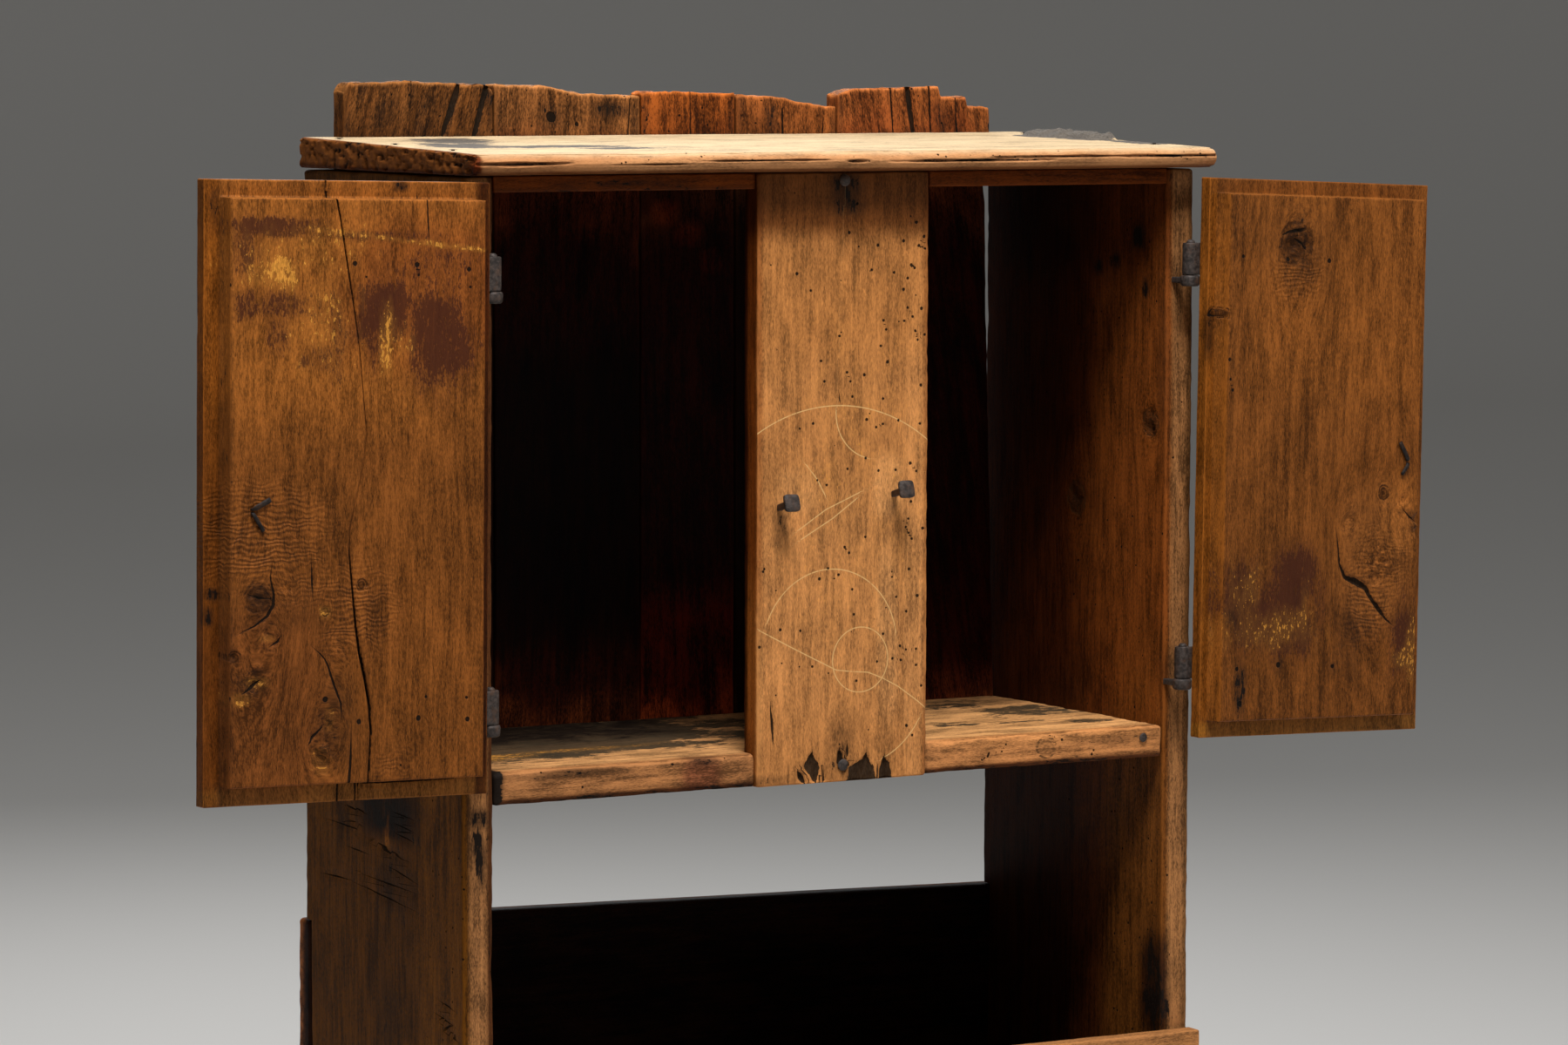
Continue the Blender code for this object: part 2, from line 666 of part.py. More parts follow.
def add_ring_pull(name, door, frame, panel, iron):
    """A ring in the eye of a split pin, whose legs are clenched on the door's inner face."""
    sign = door["sign"]
    pin_u = door["hinge_gap"] + door_width(door) - DOOR_PIN_INSET
    pin_v = SHELF_TOP + DOOR_PIN_HEIGHT - HINGE_MIDDLE
    eye_radius = PIN_EYE_BORE + WIRE_RADIUS
    eye_n = OUTER_FACE - SEAT - eye_radius - WIRE_RADIUS
    inner_n = FIELD_FACE + WIRE_RADIUS + SEAT
    start = asin(PIN_LEG_SPREAD / eye_radius)
    loop = arc((eye_n, 0.0), start, 2 * (pi - start), eye_radius, 14)
    mouth_n = eye_n + eye_radius * cos(start)
    path = [(mouth_n, PIN_LEG_SPREAD)] + loop
    points = [(sign * pin_u, -n, pin_v + v) for n, v in path]
    for order, (leg_u, leg_v) in enumerate(PIN_LEGS):
        side = 1 if order == 0 else -1
        root = Vector((sign * pin_u, -inner_n, pin_v + side * PIN_LEG_SPREAD))
        lie = Vector((-sign * abs(leg_u), 0, leg_v))
        toward = lie.normalized()
        out = Vector((0, -1, 0))
        bend = [
            root - out * PIN_BEND * (1 - sin(turn)) + toward * PIN_BEND * (1 - cos(turn))
            for turn in (0.0, pi / 6, pi / 3, pi / 2)
        ]
        leg = [tuple(point) for point in bend] + [tuple(root + lie)]
        points = list(reversed(leg)) + points if order == 0 else points + leg
    label = "split_pin_" + name
    add_part(label, wire_mesh(label, points), iron, frame)
    hole = [((sign * pin_u, -OUTER_FACE, pin_v), (0, 1, 0))]
    bore = PIN_LEG_SPREAD + WIRE_RADIUS + SEAT
    drill(panel, label + "_hole", hole, LIP_THICK + FIELD_STEP + WORN_EDGE, frame, bore)
    hang_v = pin_v - (PIN_EYE_BORE - RING_WIRE - SEAT)
    swing = add_empty("ring_axis_" + name, Matrix.Translation((sign * pin_u, -eye_n, hang_v)), frame)
    steps = 24
    angles = [2 * pi * step / steps for step in range(steps)]
    ring = [(RING_RADIUS * sin(angle), 0, RING_RADIUS * (cos(angle) - 1)) for angle in angles]
    label = "ring_pull_" + name
    add_part(label, wire_mesh(label, ring, True, RING_WIRE), iron, swing)


def add_door(name, door, side, wood, iron):
    """One door with its straps and ring pull, turned open about its pintles."""
    turn = door["sign"] * (door["opened"] - pi)
    frame = add_empty("door_axis_" + name, hinge_frame(door) @ Matrix.Rotation(turn, 4, "Z"), ROOT)
    panel = add_door_board(name, door, frame, wood)
    add_straps(name, door, frame, panel, iron)
    add_ring_pull(name, door, frame, panel, iron)
    add_pintles(side, name, door, iron)


def add_catch_nails(stile, iron):
    """Square-headed nails that stand out of the stile, leaning up."""
    out = Vector((0, -cos(CATCH_RISE), sin(CATCH_RISE)))
    for name, sign in (("left", -1), ("right", 1)):
        x = sign * (STILE_WIDTH / 2 - CATCH_INSETS[name])
        entry = Vector((x, -STILE_PROUD, SHELF_TOP + CATCH_HEIGHTS[name]))
        label = "catch_nail_" + name
        profile = nail_profile(CATCH_STAND + CATCH_DEPTH, CATCH_SHANK, CATCH_HEAD, CATCH_HEAD_HEIGHT)
        mesh = turned_mesh(label, profile, 4)
        mesh.transform(along(entry + out * CATCH_STAND, out))
        add_part(label, mesh, iron)
        drill(stile, label + "_hole", [(entry, out)], CATCH_DEPTH, None, CATCH_SHANK + SEAT)


def add_stile_nails(stile, rail, shelf, iron):
    """Two nails through the stile, one into the rail and one into the cupboard's floor."""
    out = (0, -1, 0)
    length = STILE_THICK + NAIL_BITE
    places = []
    for behind, z in ((rail, SIDE_HEIGHT - RAIL_HEIGHT / 2), (shelf, SHELF_BOTTOM + SHELF_THICK / 2)):
        place = ((0.0, -STILE_PROUD, z), out)
        drill(behind, "stile_nail_hole_" + behind.name, [place], length)
        places.append(place)
    drill(stile, "stile_nail_holes", places, length)
    add_nails("stile_nail", places, length, iron)


def build():
    """Model every piece."""
    clear_scene()
    oak = {
        "side": material("side_wood", (0.20, 0.105, 0.045), 0.62),
        "top": material("top_wood", (0.42, 0.26, 0.125), 0.60),
        "rail": material("rail_wood", (0.30, 0.17, 0.075), 0.62),
        "stile": material("stile_wood", (0.36, 0.205, 0.085), 0.58),
        "shelf": material("shelf_wood", (0.40, 0.245, 0.115), 0.60),
        "back": material("back_wood", (0.17, 0.08, 0.035), 0.66),
        "front": material("front_wood", (0.30, 0.16, 0.07), 0.62),
        "bin": material("bin_wood", (0.24, 0.135, 0.06), 0.66),
        "door": material("door_wood", (0.34, 0.18, 0.065), 0.50),
    }
    iron = material("wrought_iron", (0.075, 0.060, 0.055), 0.55, 0.8)
    sides = add_sides(oak["side"])
    rail, shelf, stile = add_front_frame(oak)
    add_top(oak["top"])
    add_back_planks(oak["back"])
    add_bin(oak)
    for name, door in DOORS.items():
        add_door(name, door, sides[name], oak["door"], iron)
    add_catch_nails(stile, iron)
    add_stile_nails(stile, rail, shelf, iron)


build()
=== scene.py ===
"""Old plank sideboard: worn boards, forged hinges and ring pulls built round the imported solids.

Every board is the skin of a box on a grid, worn and warped by formulas, and carries the lay of its grain,
its knots, cracks and patches as attributes that the timber finishes read. Metres, front along -Y.
"""

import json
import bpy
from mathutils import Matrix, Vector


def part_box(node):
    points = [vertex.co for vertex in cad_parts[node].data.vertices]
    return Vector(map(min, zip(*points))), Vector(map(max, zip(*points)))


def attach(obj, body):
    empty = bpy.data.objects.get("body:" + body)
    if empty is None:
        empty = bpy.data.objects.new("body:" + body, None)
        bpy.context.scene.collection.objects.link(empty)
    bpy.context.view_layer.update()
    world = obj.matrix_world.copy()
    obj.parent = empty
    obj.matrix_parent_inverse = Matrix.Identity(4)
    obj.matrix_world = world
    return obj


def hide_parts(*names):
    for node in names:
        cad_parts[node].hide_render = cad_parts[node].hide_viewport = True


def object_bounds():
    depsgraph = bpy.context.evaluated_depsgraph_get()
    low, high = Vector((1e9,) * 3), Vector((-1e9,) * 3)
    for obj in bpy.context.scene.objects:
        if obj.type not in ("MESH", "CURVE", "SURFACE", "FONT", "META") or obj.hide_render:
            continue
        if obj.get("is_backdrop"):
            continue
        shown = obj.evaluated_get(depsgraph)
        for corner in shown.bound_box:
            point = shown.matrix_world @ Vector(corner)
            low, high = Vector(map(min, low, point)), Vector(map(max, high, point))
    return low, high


bl_info = {
    "name": "Plank Sideboard",
    "version": (1, 0, 0),
    "blender": (4, 5, 0),
    "location": "View3D > Sidebar > Sideboard",
    "description": "Builds an old plank sideboard with two lipped doors round its packed solids",
    "category": "Object",
}

from math import cos, radians, sin

import bpy
import numpy as np
from mathutils import Matrix, Vector

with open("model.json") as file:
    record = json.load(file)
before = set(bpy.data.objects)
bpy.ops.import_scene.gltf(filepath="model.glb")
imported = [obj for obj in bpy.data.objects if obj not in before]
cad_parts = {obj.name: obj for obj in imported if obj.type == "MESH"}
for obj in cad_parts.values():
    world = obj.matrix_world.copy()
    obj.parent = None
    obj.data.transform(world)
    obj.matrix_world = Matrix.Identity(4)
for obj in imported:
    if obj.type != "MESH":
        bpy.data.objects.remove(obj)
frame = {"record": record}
CAD_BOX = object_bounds()
JOINTS = {joint["name"]: joint for joint in frame["record"]["behaviour"]["joints"]}

X, Y, Z = 0, 1, 2
FRONT_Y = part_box("side_left")[0][Y]
REAR_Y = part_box("side_left")[1][Y]
INNER_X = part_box("side_right")[0][X]
SHELF_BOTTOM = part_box("cupboard_shelf")[0][Z]
SHELF_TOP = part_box("cupboard_shelf")[1][Z]
TOP_UNDER, TOP_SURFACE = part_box("top_board")[0][Z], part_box("top_board")[1][Z]
STILE_LOW, STILE_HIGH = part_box("centre_stile")
SEAT = 0.0003
STILE_PLAY = 0.003

# Rounded front edge of the top board: set back from the foremost line, and share of the thickness down
TOP_EDGE_BACK = (0.0090, 0.0070, 0.0036, 0.0010, 0.0, 0.0012, 0.0042, 0.0085)
TOP_EDGE_DOWN = (0.0, 0.05, 0.16, 0.32, 0.48, 0.66, 0.84, 1.0)

# Worm-eaten channels along that edge, as patches
TOP_CHANNELS = (
    (-0.375, -0.174, 1.4540, 0.045, 0.012, 0.0022, 0.95),
    (-0.230, -0.174, 1.4520, 0.040, 0.012, 0.0010, 0.62),
    (-0.100, -0.174, 1.4555, 0.070, 0.012, 0.0012, 0.72),
    (-0.005, -0.174, 1.4535, 0.012, 0.012, 0.0020, 0.85),
    (0.140, -0.174, 1.4530, 0.070, 0.012, 0.0018, 0.95),
    (0.240, -0.174, 1.4565, 0.080, 0.012, 0.0014, 0.82),
    (0.370, -0.174, 1.4560, 0.055, 0.012, 0.0018, 0.95),
)

# Lift of the top surface at its front and rear edge
TOP_TILT = (-0.0045, 0.0060)

# Raised grey crust at the right end, as patches
TOP_CRUST = ((0.400, 0.083, 1.467, 0.022, 0.034, 0.02, 0.82), (0.404, 0.030, 1.467, 0.018, 0.028, 0.02, 0.72))

# Hewn tops of the back planks: share of the width, and height above the top board
BACK_TOPS = (
    ((0.0, 0.052), (0.03, 0.060), (0.45, 0.061), (0.97, 0.057), (1.0, 0.050)),
    ((0.0, 0.058), (0.35, 0.056), (0.60, 0.048), (1.0, 0.046)),
    ((0.0, 0.048), (0.08, 0.050), (1.0, 0.048)),
    ((0.0, 0.047), (0.45, 0.043), (0.8, 0.036), (1.0, 0.034)),
    ((0.0, 0.046), (0.10, 0.052), (0.66, 0.054), (0.67, 0.043), (0.84, 0.044), (0.85, 0.034), (1.0, 0.032)),
)
# Gap between the last plank and the side: heights, and its width there
BACK_GAP = ((0.84, 1.33, 1.395, 1.425, 1.44, 1.462, 1.53), (0.0, 0.0142, 0.0150, 0.0190, 0.0190, 0.0105, 0.0105))
CROWN_LEAN = (-0.24, -0.03, 0.03, 0.05, 0.14)
CROWN_RELIEF = (0.0065, 0.0022, 0.0030, 0.0036, 0.0055)
CROWN_TINTS = ((0.72, 0.78, 0.62), (1.10, 1.25, 1.15), (1.30, 1.00, 0.55), (1.08, 0.98, 0.75), (1.08, 1.0, 0.80))

# Doors in their own frame: u from the hinge axis, n towards the inner face, v up from the hinges' middle
OUTER_FACE, LIP_FACE, FIELD_FACE = 0.0085, 0.0220, 0.0420
DOORS = {
    "left": {
        "sign": -1,
        "span": (0.0155, 0.3155),
        "rise": (-0.2836, 0.2908),
        "slope": 0.016,
        "lips": {"hinge": 0.0155, "free": 0.0170, "bottom": 0.0188, "top": 0.0162},
    },
    "right": {
        "sign": 1,
        "span": (0.0045, 0.3095),
        "rise": (-0.2802, 0.2876),
        "slope": -0.028,
        "lips": {"hinge": 0.0103, "free": 0.0225, "bottom": 0.0178, "top": 0.0150},
    },
}
EYE_LEVELS = {"lower": -0.2046, "upper": 0.2046}
STRAP_NAILS = (0.046, 0.104, 0.166)

# Knots as (across, along, size), with a fourth value where it is a lump without a dark heart; cracks as ((across, along, half width) along the path, face, 0 for both);
# holes as (across, along, radius)
DOOR_KNOTS = {
    "left": (
        (0.2684, -0.0900, 0.0150),
        (0.2400, -0.0860, 0.0090, 0.0),
        (0.1612, -0.0812, 0.0060),
        (0.1994, -0.1045, 0.0050),
        (0.1850, -0.1420, 0.0110, 0.0),
        (0.2760, -0.1650, 0.0170, 0.0),
        (0.2590, -0.1290, 0.0110, 0.0),
        (0.1950, -0.2080, 0.0110, 0.0),
        (0.2020, -0.2380, 0.0170, 0.0),
        (0.2930, -0.1441, 0.0060),
    ),
    "right": (
        (0.1080, 0.2250, 0.0220),
        (0.1890, -0.0640, 0.0110, 0.0),
        (0.2300, -0.1050, 0.0260, 0.0),
        (0.2640, -0.0450, 0.0120, 0.0),
        (0.2373, -0.0306, 0.0080),
        (0.2860, -0.0640, 0.0110, 0.0),
        (0.0120, 0.1517, 0.0060),
    ),
}
DOOR_SPLITS = {
    "left": {
        "path": (
            (0.1539, -0.2700),
            (0.1510, -0.2189),
            (0.1529, -0.1917),
            (0.1573, -0.1682),
            (0.1631, -0.1448),
            (0.1676, -0.1175),
            (0.1708, -0.0865),
            (0.1744, -0.0517),
            (0.1740, -0.0285),
            (0.1600, 0.0300),
            (0.1565, 0.0600),
            (0.1597, 0.0861),
            (0.1643, 0.1360),
            (0.1701, 0.1744),
            (0.1776, 0.2165),
            (0.1843, 0.2547),
            (0.1899, 0.2800),
        ),
        "widths": (
            (-0.28, 0.0006),
            (-0.22, 0.0009),
            (-0.18, 0.0014),
            (-0.14, 0.0012),
            (-0.08, 0.0008),
            (-0.03, 0.0003),
            (-0.01, 0.0),
            (0.04, 0.0),
            (0.08, 0.0003),
            (0.16, 0.0005),
            (0.28, 0.0007),
        ),
        "depth": 0.006,
    },
    "right": {
        "path": ((0.1650, -0.2700), (0.1680, -0.1000), (0.1650, 0.0), (0.1600, 0.2700)),
        "widths": ((-0.28, 0.0), (0.28, 0.0)),
        "depth": 0.0,
    },
}
DOOR_CRACKS = {
    "left": (
        (((0.0939, 0.2782, 0.0005), (0.0925, 0.2540, 0.0009), (0.0915, 0.2290, 0.0)), 1),
        (((0.2148, -0.0463, 0.0), (0.2135, -0.0750, 0.0008), (0.2120, -0.1001, 0.0)), 1),
        (((0.2172, -0.1335, 0.0), (0.2040, -0.1440, 0.0006), (0.1980, -0.1508, 0.0009), (0.1892, -0.1743, 0.0011),
          (0.1826, -0.1901, 0.0008), (0.1815, -0.2110, 0.0)), 1),
        (((0.1716, -0.2061, 0.0), (0.1720, -0.2400, 0.0011), (0.1736, -0.2641, 0.0014)), 1),
        (((0.1895, 0.2935, 0.0006), (0.1905, 0.2760, 0.0003)), 1),
        (((0.1758, -0.2660, 0.0008), (0.1760, -0.2836, 0.0010)), 1),
        (((0.1570, -0.2660, 0.0008), (0.1570, -0.2836, 0.0008)), 1),
        (((0.2790, -0.0870, 0.0002), (0.2680, -0.0905, 0.0009), (0.2560, -0.0915, 0.0003)), 1),
        (((0.2550, -0.0589, 0.0002), (0.2564, -0.0730, 0.0006), (0.2525, -0.0858, 0.0012), (0.2528, -0.0968, 0.0015),
          (0.2592, -0.1075, 0.0013), (0.2733, -0.1163, 0.0008), (0.2943, -0.1248, 0.0)), 1),
        (((0.2560, -0.1360, 0.0003), (0.2480, -0.1310, 0.0010), (0.2450, -0.1240, 0.0)), 1),
        (((0.2180, -0.2300, 0.0), (0.2120, -0.2200, 0.0014), (0.2020, -0.2120, 0.0007)), 1),
        (((0.2880, -0.1800, 0.0), (0.2740, -0.1720, 0.0016), (0.2640, -0.1640, 0.0)), 1),
        # This line along the bottom lip, just under the field, is a painted shadow of the field's step, drawn as a
        # shallow crack
        (((0.0520, -0.2672, 0.0008), (0.1000, -0.2672, 0.0014), (0.1500, -0.2672, 0.0009)), 1),
    ),
    "right": (
        (((0.1705, -0.0640, 0.0), (0.1728, -0.0758, 0.0005), (0.1771, -0.1036, 0.0011), (0.1856, -0.1178, 0.0022),
          (0.2000, -0.1225, 0.0036), (0.2158, -0.1289, 0.0030), (0.2243, -0.1412, 0.0020), (0.2340, -0.1510, 0.0027),
          (0.2450, -0.1620, 0.0012), (0.2560, -0.1700, 0.0)), 1),
        (((0.0835, 0.2300, 0.0), (0.0960, 0.2350, 0.0010), (0.1055, 0.2367, 0.0017), (0.1180, 0.2400, 0.0004)), 1),
        (((0.1068, 0.2289, 0.0004), (0.1160, 0.2230, 0.0012), (0.1240, 0.2160, 0.0)), 1),
        (((0.1250, 0.2380, 0.0), (0.1130, 0.2370, 0.0007), (0.1060, 0.2360, 0.0)), 1),
        (((0.2600, -0.0400, 0.0), (0.2750, -0.0560, 0.0008), (0.2930, -0.0640, 0.0004)), 1),
        (((0.0140, 0.1580, 0.0), (0.0060, 0.1490, 0.0014), (0.0180, 0.1480, 0.0)), 1),
    ),
}
DOOR_HOLES = {
    "left": (
        (0.1698, 0.2153, 0.0023),
        (0.1046, 0.2145, 0.0024),
        (0.0492, 0.2104, 0.0022),
        (0.1642, -0.2077, 0.0023),
        (0.1012, -0.2069, 0.0024),
        (0.0486, -0.2098, 0.0022),
        (0.0933, -0.1871, 0.0013),
        (0.0500, -0.1894, 0.0015),
        (0.1580, 0.2030, 0.0011),
        (0.1030, 0.2050, 0.0013),
        (0.0480, 0.1940, 0.0012),
        (0.1995, -0.1860, 0.0026),
        (0.1200, -0.2500, 0.0010),
    ),
    "right": (
        (0.0337, 0.2093, 0.0019),
        (0.0958, 0.2076, 0.0023),
        (0.1527, 0.2072, 0.0023),
        (0.0365, -0.2090, 0.0022),
        (0.0934, -0.2060, 0.0028),
        (0.1695, -0.2091, 0.0022),
        (0.0412, -0.2443, 0.0028),
        (0.0180, 0.1050, 0.0018),
        (0.0200, 0.0850, 0.0014),
        (0.0230, 0.0740, 0.0016),
    ),
}
# Patches as (u, n, v, radius in u, in n, in v, strength)
DOOR_MARKS = {
    "left": {
        "paint": (
            (0.0825, 0.042, 0.147, 0.032, 0.011, 0.050, 1.05),
            (0.1375, 0.042, 0.170, 0.032, 0.011, 0.027, 1.05),
            (0.1500, 0.042, 0.150, 0.010, 0.011, 0.033, 0.85),
            (0.258, 0.042, 0.2475, 0.047, 0.011, 0.0095, 0.92),
            (0.150, 0.042, 0.2405, 0.070, 0.011, 0.005, 0.66),
            (0.284, 0.042, 0.230, 0.016, 0.011, 0.026, 0.78),
            (0.2835, 0.042, 0.1765, 0.014, 0.011, 0.014, 0.80),
            (0.2380, 0.042, 0.1760, 0.034, 0.011, 0.013, 0.72),
            (0.2500, 0.042, 0.151, 0.012, 0.011, 0.020, 0.66),
            (0.188, 0.042, 0.148, 0.009, 0.011, 0.050, 0.66),
            (0.205, 0.042, 0.130, 0.022, 0.011, 0.014, 0.60),
            (0.222, 0.042, 0.1258, 0.006, 0.011, 0.006, 0.85),
            (0.085, 0.042, 0.218, 0.046, 0.011, 0.012, 0.56),
            (0.095, 0.042, 0.200, 0.066, 0.011, 0.036, 0.50),
        ),
        "flake": (
            (0.2450, 0.042, 0.2080, 0.016, 0.011, 0.0140, 1.00),
            (0.2650, 0.042, 0.2060, 0.022, 0.011, 0.0130, 0.66),
            (0.1365, 0.042, 0.1420, 0.0065, 0.011, 0.030, 0.82),
            (0.1200, 0.042, 0.1480, 0.012, 0.011, 0.016, 0.50),
            *((0.220 - step * 0.0155, 0.042, 0.2475 - step * 0.0016, 0.011, 0.011, 0.0026, 0.58 + 0.025 * step) for step in range(13)),
            (0.225, 0.042, 0.225, 0.075, 0.011, 0.022, 0.46),
            (0.197, 0.042, 0.165, 0.022, 0.011, 0.030, 0.56),
            (0.200, 0.042, 0.160, 0.040, 0.011, 0.055, 0.40),
            (0.2714, 0.042, -0.1684, 0.012, 0.011, 0.006, 0.7),
            (0.2854, 0.042, -0.1834, 0.01, 0.011, 0.006, 0.7),
            (0.2591, 0.042, -0.1280, 0.01, 0.011, 0.004, 0.62),
            (0.2054, 0.042, -0.2401, 0.01, 0.011, 0.014, 0.52),
            (0.1941, 0.042, -0.2042, 0.006, 0.011, 0.012, 0.56),
            (0.1994, 0.042, -0.1055, 0.006, 0.011, 0.006, 0.6),
        ),
        "stain_and_shade": (
            (0.240, 0.042, -0.105, 0.050, 0.011, 0.020, 0.34),
            (0.268, 0.042, -0.090, 0.016, 0.011, 0.016, 0.48),
            (0.190, 0.042, -0.205, 0.022, 0.011, 0.045, 0.42),
            (0.276, 0.042, -0.170, 0.018, 0.011, 0.012, 0.50),
            (0.110, 0.042, 0.286, 0.010, 0.02, 0.005, 1.0),
            (0.306, 0.042, -0.088, 0.008, 0.02, 0.006, 0.85),
            (0.311, 0.042, -0.107, 0.006, 0.02, 0.009, 0.85),
            (0.304, 0.042, 0.268, 0.006, 0.02, 0.016, 0.70),
            (0.298, 0.042, 0.0, 0.0030, 0.02, 0.40, 0.42),
        ),
    },
    "right": {
        "paint": (
            (0.112, 0.042, -0.132, 0.028, 0.011, 0.042, 1.08),
            (0.042, 0.042, -0.135, 0.026, 0.011, 0.036, 1.00),
            (0.080, 0.042, -0.160, 0.056, 0.011, 0.026, 0.98),
            (0.126, 0.042, -0.172, 0.018, 0.011, 0.030, 0.84),
            (0.066, 0.042, -0.150, 0.044, 0.011, 0.036, 0.74),
            (0.105, 0.042, -0.180, 0.030, 0.011, 0.018, 0.72),
            (0.148, 0.042, -0.150, 0.012, 0.011, 0.038, 0.58),
            (0.276, 0.042, -0.180, 0.022, 0.011, 0.038, 1.00),
            (0.040, 0.042, -0.125, 0.010, 0.011, 0.030, 0.70),
        ),
        "flake": (
            (0.085, 0.042, -0.168, 0.062, 0.011, 0.020, 0.60),
            (0.045, 0.042, -0.140, 0.022, 0.011, 0.040, 0.54),
            (0.128, 0.042, -0.150, 0.006, 0.011, 0.034, 0.52),
            (0.284, 0.042, -0.186, 0.012, 0.011, 0.036, 0.70),
            (0.276, 0.042, -0.205, 0.018, 0.011, 0.010, 0.66),
        ),
        "stain_and_shade": (
            (0.108, 0.042, 0.222, 0.044, 0.011, 0.036, 0.44),
            (0.041, 0.042, -0.232, 0.009, 0.011, 0.030, 0.86),
            (0.190, 0.042, -0.180, 0.020, 0.011, 0.045, 0.42),
            (0.093, 0.042, -0.206, 0.008, 0.011, 0.010, 0.50),
            (0.170, 0.042, -0.210, 0.007, 0.011, 0.010, 0.50),
            (0.027, 0.042, -0.158, 0.008, 0.011, 0.012, 0.62),
            (0.008, 0.042, 0.130, 0.006, 0.02, 0.028, 0.75),
            (0.286, 0.042, -0.062, 0.014, 0.011, 0.010, 0.50),
        ),
    },
}
# Broad tints as (u, n, v, radius in u, in n, in v, red, green, blue), each a factor on the timber's colour
DOOR_TINTS = {
    "left": (
        (0.20, 0.042, 0.20, 0.16, 0.05, 0.11, 1.62, 1.66, 1.50),
        (0.095, 0.042, 0.190, 0.080, 0.05, 0.060, 0.86, 0.76, 0.78),
        # Painted light: the bottom lip lightened against the field's shadow
        (0.16, 0.042, -0.2755, 0.20, 0.05, 0.0070, 1.30, 1.55, 1.70),
        (0.26, 0.042, -0.19, 0.06, 0.05, 0.08, 0.95, 0.92, 1.05),
        # Darker stripe on the free lip beside the field: dirt, and painted shade of the field's step
        (0.308, 0.042, 0.0, 0.008, 0.05, 0.40, 0.80, 0.72, 0.50),
        (0.0225, 0.042, 0.0, 0.0072, 0.05, 0.40, 0.22, 0.17, 0.14),
    ),
    "right": (
        (0.20, 0.042, 0.17, 0.14, 0.05, 0.10, 1.25, 1.25, 1.18),
        # Painted light: the bottom lip lightened against the field's shadow
        (0.16, 0.042, -0.2725, 0.20, 0.05, 0.0070, 1.20, 1.45, 1.50),
        (0.23, 0.042, -0.10, 0.05, 0.05, 0.06, 1.10, 1.15, 1.30),
        # Lighter golden burl lumps, partly a painted highlight on them
        (0.268, 0.042, -0.055, 0.028, 0.05, 0.034, 1.40, 1.42, 1.38),
        (0.008, 0.042, -0.02, 0.007, 0.05, 0.40, 1.22, 1.18, 0.80),
        (0.28, 0.042, -0.26, 0.05, 0.05, 0.04, 1.10, 1.12, 1.15),
    ),
}
# Rippled figure, as patches
DOOR_CURL = {
    "left": (
        (0.262, 0.042, -0.035, 0.055, 0.05, 0.040, 1.0),
        (0.165, 0.042, -0.105, 0.032, 0.05, 0.035, 0.9),
        (0.225, 0.042, -0.075, 0.030, 0.05, 0.025, 0.6),
        (0.130, 0.042, -0.255, 0.020, 0.05, 0.020, 0.5),
    ),
    "right": (
        (0.215, 0.042, -0.150, 0.025, 0.05, 0.030, 0.9),
        (0.235, 0.042, -0.105, 0.035, 0.05, 0.030, 0.6),
        (0.110, 0.042, 0.190, 0.030, 0.05, 0.020, 0.6),
    ),
}

# Saw marks on the left side's outer face, as two ends (y, z)
SAW_MARKS = (
    ((0.125, 0.817), (0.068, 0.812)),
    ((0.108, 0.818), (0.056, 0.812)),
    ((0.163, 0.798), (0.050, 0.794)),
    ((0.110, 0.803), (0.066, 0.799)),
    ((0.075, 0.793), (-0.035, 0.775)),
    ((0.110, 0.776), (0.055, 0.773)),
    ((0.060, 0.785), (-0.030, 0.775)),
    ((0.096, 0.754), (0.005, 0.754)),
    ((0.076, 0.752), (-0.050, 0.747)),
    ((0.168, 0.742), (0.092, 0.743)),
    ((0.106, 0.743), (-0.050, 0.729)),
    ((0.024, 0.768), (-0.050, 0.756)),
    ((0.014, 0.822), (-0.042, 0.818)),
    ((0.008, 0.811), (-0.042, 0.806)),
    ((0.008, 0.802), (-0.042, 0.796)),
    ((-0.084, 0.651), (-0.127, 0.643)),
    ((-0.074, 0.638), (-0.131, 0.627)),
    ((-0.084, 0.630), (-0.131, 0.619)),
    ((-0.094, 0.622), (-0.136, 0.614)),
)

# Worm holes on the shelf's front as (height, x, radius)
SHELF_HOLES = (
    (0.8506, 0.1669, 0.0010),
    (0.8570, 0.1752, 0.0013),
    (0.8535, 0.1738, 0.0009),
    (0.8580, 0.1906, 0.0010),
    (0.8650, 0.1954, 0.0010),
    (0.8658, 0.2630, 0.0012),
    (0.8520, 0.3016, 0.0011),
    (0.8480, 0.2995, 0.0011),
    (0.8720, 0.2490, 0.0011),
    (0.8700, -0.1900, 0.0016),
    (0.8530, -0.2900, 0.0012),
)

# Scribed arcs on the stile as (x, height above its foot, radius, first and last angle in degrees)
STILE_ARCS = (
    (-0.0092, 0.1974, 0.1744, 50, 122),
    (-0.0148, 0.1336, 0.0775, 8, 158),
    (0.0204, 0.1200, 0.0322, 0, 360),
    (0.0374, 0.3642, 0.0460, 176, 258),
    (0.0150, 0.1000, 0.0860, 292, 330),
)
STILE_WAVE = (
    (-0.0970, 0.1550),
    (-0.0580, 0.1354),
    (-0.0074, 0.1110),
    (0.0120, 0.1085),
    (0.0296, 0.1069),
    (0.0460, 0.1005),
    (0.0646, 0.0911),
    (0.0850, 0.0770),
    (0.0990, 0.0663),
)
